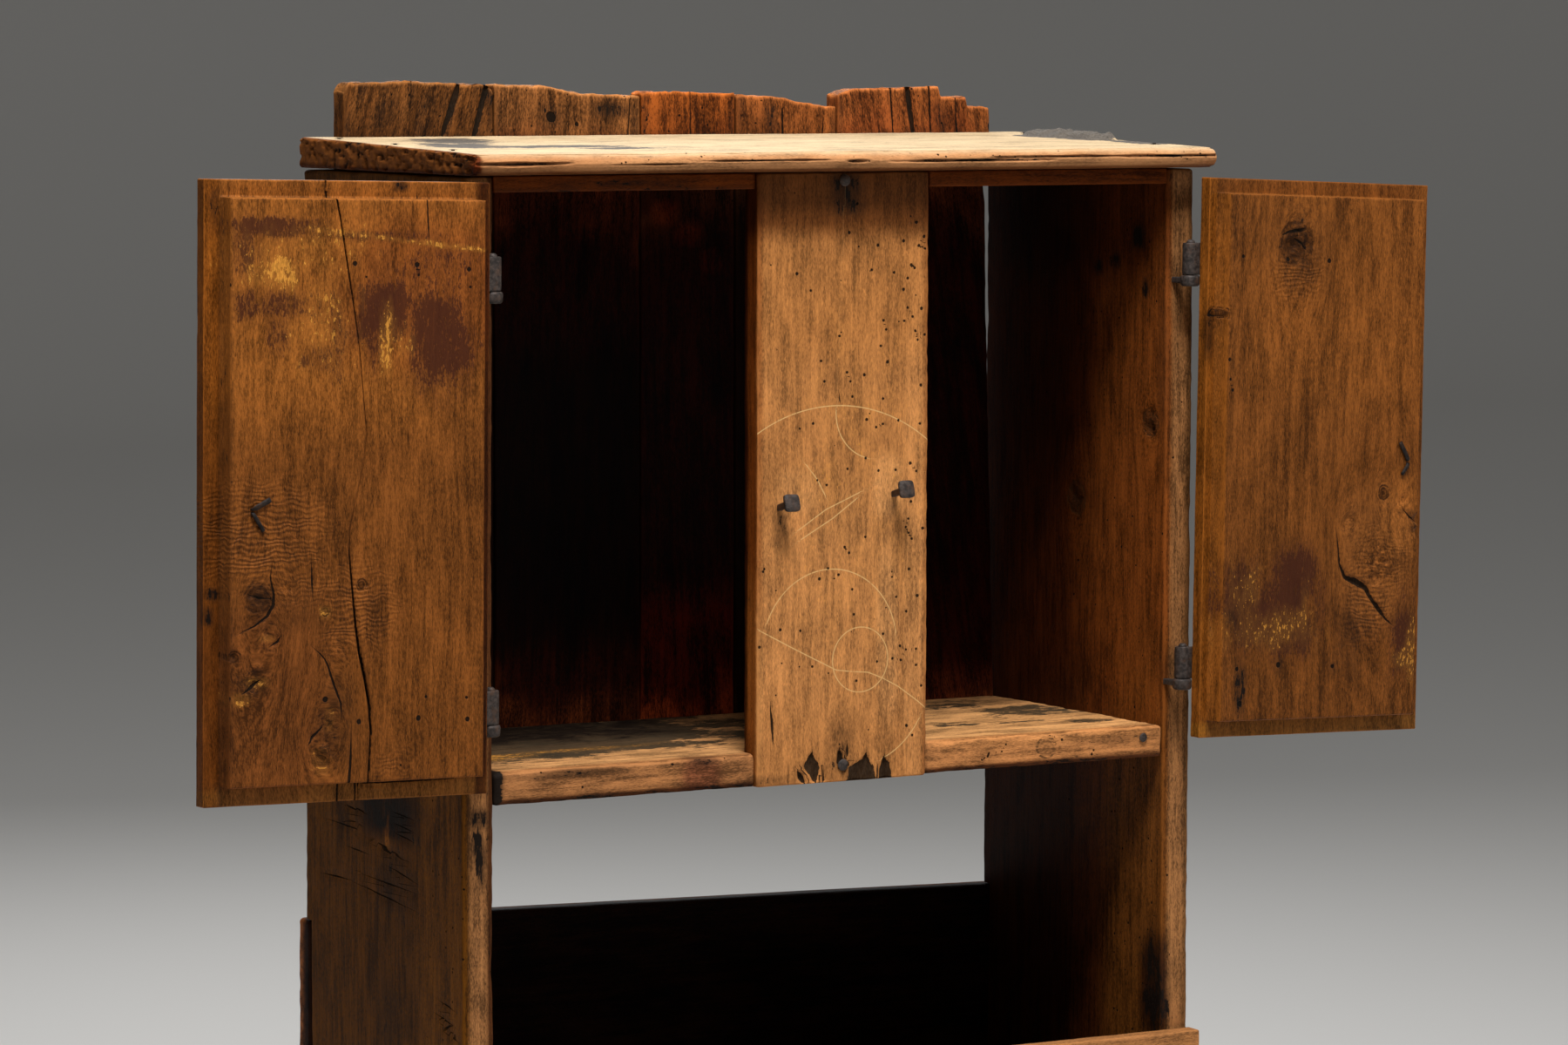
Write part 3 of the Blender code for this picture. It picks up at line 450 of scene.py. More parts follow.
# Chips at the foot of the stile, and its worm holes in mm from its middle and its foot
STILE_CHIPS = (
    (((-0.0349, 0.8700, 0.0008), (-0.0354, 0.8643, 0.0050), (-0.0354, 0.8585, 0.0088), (-0.0325, 0.8526, 0.0064),
      (-0.0315, 0.8451, 0.0034)), -1),
    (((-0.0506, 0.8521, 0.0012), (-0.0478, 0.8478, 0.0032), (-0.0449, 0.8427, 0.0018)), -1),
    (((0.0061, 0.8774, 0.0002), (0.0060, 0.8708, 0.0013), (0.0061, 0.8650, 0.0008)), -1),
    (((0.0281, 0.8665, 0.0004), (0.0281, 0.8603, 0.0044), (0.0262, 0.8530, 0.0122), (0.0233, 0.8465, 0.0155),
      (0.0224, 0.8396, 0.0165)), -1),
    (((0.0494, 0.8600, 0.0012), (0.0504, 0.8539, 0.0052), (0.0505, 0.8456, 0.0070), (0.0505, 0.8386, 0.0075)), -1),
    (((-0.0023, 0.8690, 0.0022), (-0.0016, 0.8597, 0.0042)), -1),
    (((-0.0220, 0.8536, 0.0004), (-0.0214, 0.8428, 0.0012)), -1),
    (((-0.0621, 0.8586, 0.0002), (-0.0622, 0.8430, 0.0006)), -1),
    (((-0.0830, 0.9200, 0.0004), (-0.0805, 0.9020, 0.0016), (-0.0795, 0.8830, 0.0006)), -1),
    (((-0.0052, 1.2259, 0.0), (-0.0040, 1.2180, 0.0007), (-0.0028, 1.2101, 0.0)), -1),
)
STILE_HOLES = (
    (-54, 502), (-38, 485), (-5, 440), (-26, 416), (-22, 396), (4, 404), (8, 395), (24, 401), (10, 380),
    (46, 377), (27, 357), (46, 352), (38, 349), (-35, 355), (64, 355), (89, 351), (26, 319), (5, 309),
    (41, 306), (78, 312), (85, 304), (61, 306), (-19, 294), (39, 528), (32, 504), (58, 501), (78, 508),
    (82, 505), (74, 495), (69, 484), (74, 466), (90, 465), (80, 457), (70, 453), (46, 454), (49, 445),
    (83, 443), (94, 439), (86, 434), (43, 429), (51, 413), (90, 389), (69, 532), (87, 527), (94, 524),
    (93, 536), (84, 550), (15, 569), (6, 541), (-92, 212), (-27, 202), (-17, 212), (-5, 205), (11, 190),
    (13, 165), (2, 232), (7, 226), (26, 241), (-72, 154), (-49, 152), (-35, 116), (47, 144), (40, 117),
    (58, 119), (74, 127), (68, 117), (67, 131), (86, 111), (86, 127), (92, 90), (16, 99), (62, 180),
    (87, 180), (74, 165), (77, 207), (73, 249), (76, 243), (80, 237), (93, 247), (76, 257), (79, 274),
    (75, 51), (82, 41), (-96, 138),
)
STILE_SCRATCHES = (
    ((-0.0515, 0.2510), (-0.0200, 0.2700), (0.0196, 0.2855)),
    ((-0.0480, 0.2420), (-0.0120, 0.2610), (0.0150, 0.2790)),
    ((-0.0430, 0.3150), (-0.0300, 0.3000), (-0.0210, 0.2840)),
)

HASH_STEPS = np.array([73856093, 19349663, 83492791], np.int64)
HASH_MIX = 1274126177
LAY_SHIFT = np.array([0.37, 0.11, 0.53])
# The stain kind holds real stains, and also painted shade under the shelf and on the bin's front planks inside
MARK_KINDS = ("stain_and_shade", "paint", "flake", "grey")


def value_noise(points, cell, seed):
    """Smooth noise from 0 to 1: hashed corner values of a cubic lattice, blended by smoothstep in each cell."""
    place = np.asarray(points, float) / cell + seed * 17.31
    base = np.floor(place)
    share = place - base
    share = share * share * (3 - 2 * share)
    start = (base.astype(np.int64) * HASH_STEPS).T
    total = np.zeros(len(place))
    for corner in range(8):
        bits = [(corner >> axis) & 1 for axis in range(3)]
        key = sum(start[axis] + bit * HASH_STEPS[axis] for axis, bit in enumerate(bits))
        key = (key ^ (key >> 13)) * HASH_MIX
        weight = 1.0
        for axis, bit in enumerate(bits):
            weight = weight * (share[:, axis] if bit else 1 - share[:, axis])
        total += weight * ((key ^ (key >> 16)) & 0xFFFF)
    return total / 0xFFFF


def layered_noise(points, cell, seed, layers=3):
    """Layers of smooth noise, each on half the cell and half as strong, brought back to 0 to 1."""
    total = sum(value_noise(points, cell / 2**layer, seed + layer) / 2**layer for layer in range(layers))
    return total / (2 - 2.0 ** (1 - layers))


def smoothstep(value, low, high):
    """0 below low, 1 above high, and 3t²-2t³ between them."""
    share = np.clip((value - low) / (high - low), 0, 1)
    return share * share * (3 - 2 * share)


def path_distance(across, along, path):
    """Signed distance from points to a path of straight pieces, and the run along it in pieces; the sign is
    the side of the nearest piece."""
    path = np.asarray(path, float)[:, :2]
    start, step = path[:-1], np.diff(path, axis=0)
    length = np.maximum((step**2).sum(1), 1e-12)
    off_a = across[:, None] - start[:, 0]
    off_s = along[:, None] - start[:, 1]
    share = np.clip((off_a * step[:, 0] + off_s * step[:, 1]) / length, 0, 1)
    far = np.hypot(off_a - share * step[:, 0], off_s - share * step[:, 1])
    nearest = far.argmin(1)
    rows = np.arange(len(across))
    side = off_a[rows, nearest] * step[nearest, 1] - off_s[rows, nearest] * step[nearest, 0]
    return far[rows, nearest] * np.where(side < 0, -1, 1), nearest + share[rows, nearest]


def crack_field(across, along, cracks, share):
    """Nearest crack at each point, in mm: signed distance, half width there, and 1 near it fading to 0 at 7 mm
    from its edge."""
    field = np.zeros((len(across), 3))
    best = np.full(len(across), 0.007)
    for path, face in cracks:
        signed, run = path_distance(across, along, path)
        half = np.interp(run, np.arange(len(path)), [point[2] for point in path])
        gap = np.abs(signed) - half
        near = (gap < best) & ((share * face > 0.2) | (face == 0))
        best = np.where(near, gap, best)
        made = np.stack([signed * 1000, half * 1000, np.clip((0.007 - gap) / 0.003, 0, 1)], 1)
        field = np.where(near[:, None], made, field)
    return field


def nearest_spot(across, along, spots, reach):
    """Offsets in mm to the nearest spot and its radius, or a radius far below zero beyond the reach."""
    table = np.array(spots if len(spots) else ((9.0, 9.0, 0.0),))
    off_a = across[:, None] - table[:, 0]
    off_s = along[:, None] - table[:, 1]
    pick = (off_a**2 + off_s**2).argmin(1)
    rows = np.arange(len(across))
    off = np.stack([off_a[rows, pick], off_s[rows, pick]], 1)
    radius = np.where(np.linalg.norm(off, axis=1) < reach * np.maximum(table[pick, 2], 0.002), table[pick, 2], -0.1)
    return np.column_stack([off, radius]) * 1000


def blobs(points, entries, seed, ragged=0.9):
    """Soft patches: each is full inside a rounded box and fades past its rim, which noise makes ragged."""
    total = np.zeros(len(points))
    if not len(entries):
        return total
    rough = layered_noise(points, 0.026, seed, 3) - 0.5
    for entry in entries:
        centre, radii, strength = np.array(entry[:3]), np.array(entry[3:6]), entry[6]
        far = ((np.abs(points - centre) / radii) ** 3).sum(1) ** (1 / 3) + ragged * rough
        total = np.maximum(total, strength * np.clip((1.6 - far) / 1.1, 0, 1))
    return total


def tint_field(points, entries, seed):
    """Product of broad soft tints; each is its own factor at its middle and 1 outside its rim."""
    total = np.ones((len(points), 3))
    rough = 0.3 * (layered_noise(points, 0.026, seed, 3) - 0.5) if len(entries) else 0.0
    for entry in entries:
        far = ((np.abs(points - entry[:3]) / entry[3:6]) ** 3).sum(1) ** (1 / 3) + rough
        total *= 1 + smoothstep(far, 1.6, 0.72)[:, None] * (np.array(entry[6:9]) - 1)
    return np.column_stack([total, np.ones(len(points))])


def grid_lines(low, high, step, edge, extra=(), close=()):
    """Grid lines along one axis: even steps, close lines at both worn ends, pairs at steps, and given lines."""
    even = np.linspace(low, high, max(2, round((high - low) / step)) + 1)
    worn = edge * np.array([0.12, 0.35, 0.65, 1.0])
    pairs = [place + offset for place in extra for offset in (-0.0002, 0.0002)]
    lines = np.concatenate([even, low + worn, high - worn, np.array(pairs), np.asarray(close, float)])
    lines = np.unique(np.round(lines[(lines >= low) & (lines <= high)], 6))
    return lines[np.concatenate([[True], np.diff(lines) > 0.0001])]


def block_grid(lines):
    """The six grids on the skin of a box of grid lines, joined along shared edges, with faces outwards."""
    counts = [len(line) for line in lines]
    quads = []
    for axis in range(3):
        one, two = (axis + 1) % 3, (axis + 2) % 3
        first, second = np.meshgrid(np.arange(counts[one]), np.arange(counts[two]), indexing="ij")
        for end in (0, 1):
            index = [None, None, None]
            index[one], index[two] = first, second
            index[axis] = np.full_like(first, end * (counts[axis] - 1))
            flat = (index[0] * counts[1] + index[1]) * counts[2] + index[2]
            corners = [flat[:-1, :-1], flat[1:, :-1], flat[1:, 1:], flat[:-1, 1:]]
            if end == 0:
                corners.reverse()
            quads.append(np.stack(corners, -1).reshape(-1, 4))
    quads = np.concatenate(quads)
    used, inverse = np.unique(quads, return_inverse=True)
    places = [used // (counts[1] * counts[2]), used // counts[2] % counts[1], used % counts[2]]
    points = np.stack([line[place] for line, place in zip(lines, places)], 1)
    return points, inverse.reshape(-1, 4)


def hewn(points, low, high, wear, wave, seed):
    """Worn form of a box's skin: arrises round off by a radius that noise varies, and every face sinks
    inwards by 0 to its wave depth, so the board stays inside its solid."""
    low, high = np.asarray(low), np.asarray(high)
    middle, half = (low + high) / 2, (high - low) / 2
    radius = wear * (0.45 + 1.5 * layered_noise(points, 0.05, seed + 20) ** 2)
    radius *= 0.55 + 0.9 * value_noise(points, 0.009, seed + 24)
    radius = np.minimum(radius, 0.45 * half.min())[:, None]
    inner = np.clip(points, low + radius, high - radius)
    off = points - inner
    length = np.maximum(np.linalg.norm(off, axis=1, keepdims=True), 1e-9)
    rounded = inner + off * np.minimum(1, radius / length)
    share = (points - middle) / half
    sink = np.zeros_like(points)
    for axis in range(3):
        broad = value_noise(points, 0.17, seed + axis)
        fine = layered_noise(points, 0.040, seed + axis + 5)
        sink[:, axis] = wave[axis] * (0.6 * broad + 0.4 * fine)
    return rounded - share * sink


def arris_wear(points, low, high, reach):
    """1 on an arris, fading to 0 at the reach: from the second smallest distance to the box's faces."""
    near = np.minimum(points - np.asarray(low), np.asarray(high) - points)
    return np.clip(1 - np.sort(near, axis=1)[:, 1] / reach, 0, 1)


def mesh_from_arrays(name, points, quads):
    """A smooth mesh from an array of points and an array of four-sided faces."""
    mesh = bpy.data.meshes.new(name)
    mesh.vertices.add(len(points))
    mesh.vertices.foreach_set("co", np.ascontiguousarray(points, np.float32).ravel())
    mesh.loops.add(quads.size)
    mesh.loops.foreach_set("vertex_index", np.ascontiguousarray(quads, np.int32).ravel())
    mesh.polygons.add(len(quads))
    mesh.polygons.foreach_set("loop_start", np.arange(0, quads.size, 4, dtype=np.int32))
    mesh.polygons.foreach_set("use_smooth", np.ones(len(quads), bool))
    mesh.update(calc_edges=True)
    mesh.validate()
    return mesh


def write_attribute(mesh, name, values):
    """One value per point: a number, a vector or a colour with alpha."""
    kinds = {1: ("FLOAT", "value"), 3: ("FLOAT_VECTOR", "vector"), 4: ("FLOAT_COLOR", "color")}
    width = 1 if values.ndim == 1 else values.shape[1]
    kind, field = kinds[width]
    made = mesh.attributes.new(name, kind, "POINT")
    made.data.foreach_set(field, np.ascontiguousarray(values, np.float32).ravel())


def add_piece(name, points, quads, finish, body, nodes, slot, attributes=None):
    """Link one piece, set its finish, hang it on the body it rides on and hide the solids it stands for."""
    mesh = mesh_from_arrays(name, points, quads)
    for label, values in (attributes or {}).items():
        write_attribute(mesh, label, values)
    mesh.materials.append(finish)
    piece = bpy.data.objects.new(name, mesh)
    bpy.context.scene.collection.objects.link(piece)
    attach(piece, body)
    if nodes:
        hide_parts(*nodes)
    return piece


def knot_fields(across, along, knots):
    """Bend of the fibres, swelling of the growth rings and lumps round knots.

    Round a knot of size k at distance d: fibres are pushed aside by 0.8 of the offset times exp(-(d/1.9k)²),
    rings swell by 0.9k exp(-(d/1.9k)²), and the lump is exp(-(d/0.9k)²)."""
    bend = np.zeros(len(across))
    swell = np.zeros(len(across))
    lump = np.zeros(len(across))
    for centre_a, centre_s, size in (entry[:3] for entry in knots):
        off = across - centre_a
        near = np.exp(-(off**2 + (0.5 * (along - centre_s)) ** 2) / (1.9 * size) ** 2)
        bend -= 0.8 * off * near
        swell += 0.9 * size * near
        lump = np.maximum(lump, np.exp(-(off**2 + (0.9 * (along - centre_s)) ** 2) / (0.9 * size) ** 2))
    return bend, swell, lump


def plank(name, low, high, order, step, finish, slot, seed, **more):
    """A worn board: `order` names its across, through and along axes, and `step` its grid on each world axis.

    Options: wear, wave, extra, fine, shape, rub, reach, knots, edge_knots, split, cracks, holes, marks, tints,
    soil, curl, worm, pith, lean, fields, place, body, nodes."""
    low, high = np.array(low, float), np.array(high, float)
    across, through, along = order
    wear = more.get("wear", 0.003)
    wave = more.get("wave", (0.001, 0.001, 0.001))
    extra = more.get("extra", {})
    split = more.get("split")
    close = {axis: tuple(more.get("fine", {}).get(axis, ())) for axis in range(3)}
    if split:
        path = np.array(split["path"])
        widths = np.array(split["widths"])
        middle = path[:, 0].mean()
        offsets = np.array([0.0, 0.0005, 0.0011, 0.0019, 0.0030])
        close[across] = np.concatenate([middle - offsets, middle + offsets, close[across]])
    lines = [
        grid_lines(low[axis], high[axis], step[axis], wear, extra.get(axis, ()), close[axis]) for axis in range(3)
    ]
    rest, quads = block_grid(lines)
    if split:
        course = np.interp(rest[:, along], path[:, 1], path[:, 0]) - middle
        rest[:, across] += course * np.clip(1 - np.abs(rest[:, across] - middle) / 0.10, 0, 1)
    worn = hewn(rest, low, high, wear, wave, seed)
    share = (rest[:, through] - (low + high)[through] / 2) / ((high - low)[through] / 2)
    on_face = np.abs(share) > 0.95
    a, t, s = rest[:, across], rest[:, through], rest[:, along]

    knots, cracks, marks = more.get("knots", ()), list(more.get("cracks", ())), more.get("marks", {})
    if split:
        cracks.append((np.column_stack([path, np.interp(path[:, 1], widths[:, 0], widths[:, 1])]), 1))
    bend, swell, lump = knot_fields(a, s, knots)
    rough = layered_noise(rest, 0.009, seed + 30) - 0.30
    worn[:, through] -= share * lump * np.clip(rough, -0.25, 1) * 0.0125 * on_face
    crack = crack_field(a, s, cracks, share)
    groove = crack[:, 2] * np.clip(1 - np.abs(crack[:, 0]) / (crack[:, 1] + 2.0), 0, 1)
    worn[:, through] -= share * groove * (0.0003 + np.minimum(0.0014 * crack[:, 1], 0.0040)) * on_face
    if split:
        deep = np.interp(s, widths[:, 0], widths[:, 1])
        off = np.abs(a - np.interp(s, path[:, 1], path[:, 0]))
        worn[:, through] -= np.clip(1 - off / np.maximum(deep, 1e-6), 0, 1) * split["depth"] * (share > 0.95)
    if "shape" in more:
        worn = more["shape"](rest, worn)

    pith_a, pith_t, tilt = more.get("pith", (0.02, -0.09, 0.03))
    centre = (low + high) / 2
    sway = 0.012 * np.sin(s * 7.0 + seed) + 0.006 * np.sin(s * 19.0 + 2.1 * seed)
    ring = np.hypot(a - centre[across] - pith_a - sway, t - centre[through] - pith_t)
    ring = ring + tilt * (s - centre[along]) + swell
    patch = [blobs(rest, marks.get(kind, ()), seed + 40 + n) for n, kind in enumerate(MARK_KINDS)]
    if "soil" in more:
        patch[0] = np.maximum(patch[0], more["soil"](rest))
    worm = blobs(rest, marks.get("worm", ()), seed + 50) + more.get("worm", 0.0)
    rubbed = arris_wear(rest, low, high, more.get("reach", 0.010))
    if "rub" in more:
        rubbed = np.maximum(rubbed, more["rub"](rest))
    bore = nearest_spot(a, s, more.get("holes", ()), 3.0)
    bore[:, 2] = np.where(share * more.get("hole_face", 1) > 0.2, bore[:, 2], -100.0)
    knot = nearest_spot(a, s, [entry for entry in knots if len(entry) == 3], 3.0)
    if "edge_knots" in more:
        on_edge = rest[:, across] < low[across] + 0.001
        knot[on_edge] = nearest_spot(t[on_edge], s[on_edge], more["edge_knots"], 3.0)
    if "edge_holes" in more:
        on_edge = rest[:, across] < low[across] + 0.001
        bore[on_edge] = nearest_spot(t[on_edge], s[on_edge], more["edge_holes"], 6.0)
    lean = more.get("lean", 0.0) * (s - high[along])
    attributes = {
        "lay": np.stack([worn[:, across] + bend + lean, worn[:, through], worn[:, along]], 1) + seed * LAY_SHIFT,
        "ring": ring,
        "marks": np.stack(patch, 1),
        "relief": np.stack([rubbed, blobs(rest, more.get("curl", ()), seed + 60, 0.6), lump, worm], 1),
        "tint": tint_field(rest, more.get("tints", ()), seed + 70),
        "crack": crack,
        "bore": bore,
        "knot": knot,
    }
    for label, made in more.get("fields", {}).items():
        attributes[label] = made(a, s, share)
    if "place" in more:
        worn, quads = more["place"](worn, quads)
    return add_piece(
        name, worn, quads, finish, more.get("body", "carcass"), more.get("nodes", (name,)), slot, attributes
    )


def carried(loops, closed=False):
    """Skin of a section carried along a path: loops is an array (stations, points, 3), each loop turning
    left as seen along the path; open ends are closed by ladders of four-sided faces."""
    stations, count = loops.shape[:2]
    index = np.arange(stations * count).reshape(stations, count)
    rows = np.concatenate([index, index[:1]]) if closed else index
    turned = np.roll(rows, -1, axis=1)
    quads = [np.stack([rows[:-1], turned[:-1], turned[1:], rows[1:]], -1).reshape(-1, 4)]
    if not closed:
        rung = np.arange(count // 2 - 1)
        ladder = np.stack([rung, rung + 1, count - 2 - rung, count - 1 - rung], 1)
        quads += [index[0][ladder[:, ::-1]], index[-1][ladder]]
    return loops.reshape(-1, 3), np.concatenate(quads)


def joined(parts):
    """Several skins as one: their points one after another, with the faces' numbers moved on."""
    points, quads, count = [], [], 0
    for part_points, part_quads in parts:
        points.append(part_points)
        quads.append(part_quads + count)
        count += len(part_points)
    return np.concatenate(points), np.concatenate(quads)


def turned(profile, steps, foot, axis, seed, rough):
    """A profile of (radius, height) turned about an axis; noise dents it like hammer work."""
    profile = np.array(profile, float)
    axis = Vector(axis).normalized()
    turn = np.array(axis.to_track_quat("Z", "Y").to_matrix())
    angles = np.linspace(0, 2 * np.pi, steps, endpoint=False)
    ring = np.stack([np.cos(angles), np.sin(angles), np.zeros(steps)], 1)
    loops = profile[:, 0, None, None] * ring + profile[:, 1, None, None] * np.array([0, 0, 1.0])
    flat = loops.reshape(-1, 3)
    dent = 1 + rough * (layered_noise(flat, 0.004, seed) - 0.6)
    flat = flat * np.stack([dent, dent, np.ones(len(dent))], 1)
    loops = (flat @ turn.T + np.array(foot)).reshape(loops.shape)
    return carried(loops)


# Finishes


def put(tree, kind, links=None, **settings):
    """Add a node; links sets its inputs from sockets or plain values."""
    made = tree.nodes.new(kind)
    for key, value in settings.items():
        setattr(made, key, value)
    for key, value in (links or {}).items():
        if isinstance(value, bpy.types.NodeSocket):
            tree.links.new(value, made.inputs[key])
        else:
            made.inputs[key].default_value = value
    return made


def maths(tree, operation, first, second=0.0, clamp=False):
    """One Math node's result."""
    return put(tree, "ShaderNodeMath", {0: first, 1: second}, operation=operation, use_clamp=clamp).outputs[0]


def fade(tree, value, low, high):
    """0 at low and 1 at high, smooth between them."""
    links = {"Value": value, "From Min": low, "From Max": high}
    return put(tree, "ShaderNodeMapRange", links, interpolation_type="SMOOTHSTEP").outputs["Result"]


def blend(tree, share, first, second, kind="MIX"):
    """Two colours mixed."""
    links = {0: share, 6: first, 7: second}
    return put(tree, "ShaderNodeMix", links, data_type="RGBA", blend_type=kind).outputs[2]


def stretched(tree, vector, scale):
    """A vector times a fixed vector."""
    return put(tree, "ShaderNodeVectorMath", {0: vector, 1: scale}, operation="MULTIPLY").outputs["Vector"]


def noise(tree, vector, scale, detail=3.0, roughness=0.55):
    """Noise from 0 to 1 at a vector stretched by the scale."""
    links = {"Vector": stretched(tree, vector, scale), "Scale": 1.0, "Detail": detail, "Roughness": roughness}
    return put(tree, "ShaderNodeTexNoise", links).outputs["Fac"]


def attribute(tree, name):
    """An attribute node of the piece's own mesh."""
    return put(tree, "ShaderNodeAttribute", attribute_name=name)


def opaque(colour):
    """A colour with full alpha."""
    return (*colour, 1.0)


def new_finish(name):
    """A material with an empty Principled shader."""
    made = bpy.data.materials.new(name)
    made.use_nodes = True
    return made, made.node_tree, made.node_tree.nodes["Principled BSDF"]


def centred(tree, value, weight):
    """A noise value moved to lie round 0, times a weight."""
    return maths(tree, "MULTIPLY", maths(tree, "SUBTRACT", value, 0.5), weight)


def total_of(tree, *values):
    """The sum of several sockets or numbers."""
    total = values[0]
    for value in values[1:]:
        total = maths(tree, "ADD", total, value)
    return total


def dimmed(colour, factor):
    """An opaque colour made darker or lighter."""
    return opaque(np.minimum(np.array(colour) * factor, 0.9))


def flat_length(tree, vector):
    """Length of a vector's first two parts, and its third part."""
    parts = put(tree, "ShaderNodeSeparateXYZ", {0: vector}).outputs
    flat = put(tree, "ShaderNodeCombineXYZ", {0: parts[0], 1: parts[1]}).outputs[0]
    return put(tree, "ShaderNodeVectorMath", {0: flat}, operation="LENGTH").outputs["Value"], parts[2]


def timber_finish(name, tones, paints, figure=0.5, fleck_weight=1.1, pore=0.5, roughness=0.58, scuff=0.2, streaks=0.6, mottle=1.0, crust=1.0, heart_weight=1.0, knot_fray=1.0, scribed=False):
    """Old timber: growth rings, fibres and pores along the lay of the grain, then patches, cracks and wear."""
    made, tree, shader = new_finish(name)
    dark, middle, light = tones
    lay = attribute(tree, "lay").outputs["Vector"]
    ring = attribute(tree, "ring").outputs["Fac"]
    marks = attribute(tree, "marks")
    relief = attribute(tree, "relief")
    stain_and_shade, paint, flake = put(tree, "ShaderNodeSeparateColor", {0: marks.outputs["Color"]}).outputs[:3]
    grey = marks.outputs["Alpha"]
    wear, curl, lump = put(tree, "ShaderNodeSeparateColor", {0: relief.outputs["Color"]}).outputs[:3]
    worm = relief.outputs["Alpha"]
    parts = put(tree, "ShaderNodeSeparateXYZ", {0: lay}).outputs

    fleck = noise(tree, lay, (1000, 1000, 250), 4.0, 0.62)
    streak = noise(tree, lay, (260, 260, 14), 3.0)
    patchy = noise(tree, lay, (95, 95, 34), 4.0, 0.6)
    broad = noise(tree, lay, (85, 85, 7), 3.0)
    ring_place = put(tree, "ShaderNodeCombineXYZ", {0: ring, 1: parts[1], 2: parts[2]}).outputs[0]
    rings = noise(tree, ring_place, (380, 6, 2.0), 3.0, 0.55)
    pores = noise(tree, lay, (1400, 1400, 320), 2.0, 0.5)
    cloud = noise(tree, lay, (34, 34, 11), 5.0, 0.6)
    swirl = noise(tree, lay, (48, 48, 48), 3.0, 0.5)
    wave = total_of(tree, maths(tree, "MULTIPLY", parts[2], 1350.0), centred(tree, swirl, 26.0))
    ripple = maths(tree, "MULTIPLY", total_of(tree, maths(tree, "SINE", wave), 1.0), 0.5)
    ragged = noise(tree, lay, (250, 250, 75), 5.0, 0.7)
    chips = noise(tree, lay, (330, 330, 150), 3.0, 0.6)
    speck = noise(tree, lay, (560, 560, 230), 4.0, 0.7)

    tone = total_of(
        tree,
        centred(tree, rings, figure),
        centred(tree, streak, streaks),
        centred(tree, fleck, fleck_weight),
        centred(tree, cloud, 0.8 * mottle),
        centred(tree, patchy, 0.6 * mottle),
        centred(tree, broad, 0.6 * streaks),
        maths(tree, "MULTIPLY", curl, centred(tree, ripple, 0.14)),
        maths(tree, "MULTIPLY", lump, total_of(tree, centred(tree, chips, 1.5), centred(tree, speck, 1.2))),
        0.5,
    )
    ramp = put(tree, "ShaderNodeValToRGB", {0: tone})
    ramp.color_ramp.elements[0].position, ramp.color_ramp.elements[0].color = 0.22, opaque(dark)
    ramp.color_ramp.elements[1].position, ramp.color_ramp.elements[1].color = 0.80, opaque(light)
    ramp.color_ramp.elements.new(0.5).color = opaque(middle)
    colour = ramp.outputs["Color"]
    pore_mask = maths(tree, "MULTIPLY", fade(tree, pores, 0.60, 0.72), pore)
    colour = blend(tree, pore_mask, colour, dimmed(dark, 0.5))
    # Arrises paled towards the light tone: wear, and on the doors' fields also a painted highlight
    rubbed = maths(tree, "MULTIPLY", fade(tree, total_of(tree, wear, centred(tree, ragged, 1.2)), 0.55, 1.05), 0.7)
    colour = blend(tree, rubbed, colour, opaque(light))
    scuffed = maths(tree, "MULTIPLY", fade(tree, total_of(tree, chips, centred(tree, patchy, 0.6)), 0.60, 0.74), scuff)
    colour = blend(tree, scuffed, colour, dimmed(light, 1.15))
    # Broad tints multiply in: the wood's own colour, and in places painted shade and painted light
    colour = blend(tree, 1.0, colour, attribute(tree, "tint").outputs["Color"], "MULTIPLY")

    far, size = flat_length(tree, attribute(tree, "knot").outputs["Vector"])
    knot = maths(tree, "DIVIDE", far, maths(tree, "MAXIMUM", size, 0.1))
    knot = total_of(tree, knot, centred(tree, ragged, 0.8 * knot_fray), centred(tree, patchy, knot_fray))
    is_knot = maths(tree, "GREATER_THAN", size, 0.0)
    bands = maths(tree, "SINE", total_of(tree, maths(tree, "MULTIPLY", knot, 11.0), centred(tree, patchy, 22.0 * knot_fray)))
    heart = maths(tree, "MULTIPLY", fade(tree, knot, 1.0, 0.55), is_knot)
    heart = maths(tree, "MULTIPLY", heart, maths(tree, "ADD", maths(tree, "MULTIPLY", bands, 0.20), 0.50 * heart_weight))
    rim = maths(tree, "SUBTRACT", 1.0, fade(tree, maths(tree, "ABSOLUTE", maths(tree, "SUBTRACT", knot, 0.95)), 0.04, 0.22))
    rim = maths(tree, "MULTIPLY", maths(tree, "MULTIPLY", rim, is_knot), fade(tree, chips, 0.40, 0.60))
    colour = blend(tree, maths(tree, "MAXIMUM", heart, maths(tree, "MULTIPLY", rim, 0.85)), colour, dimmed(dark, 0.45))

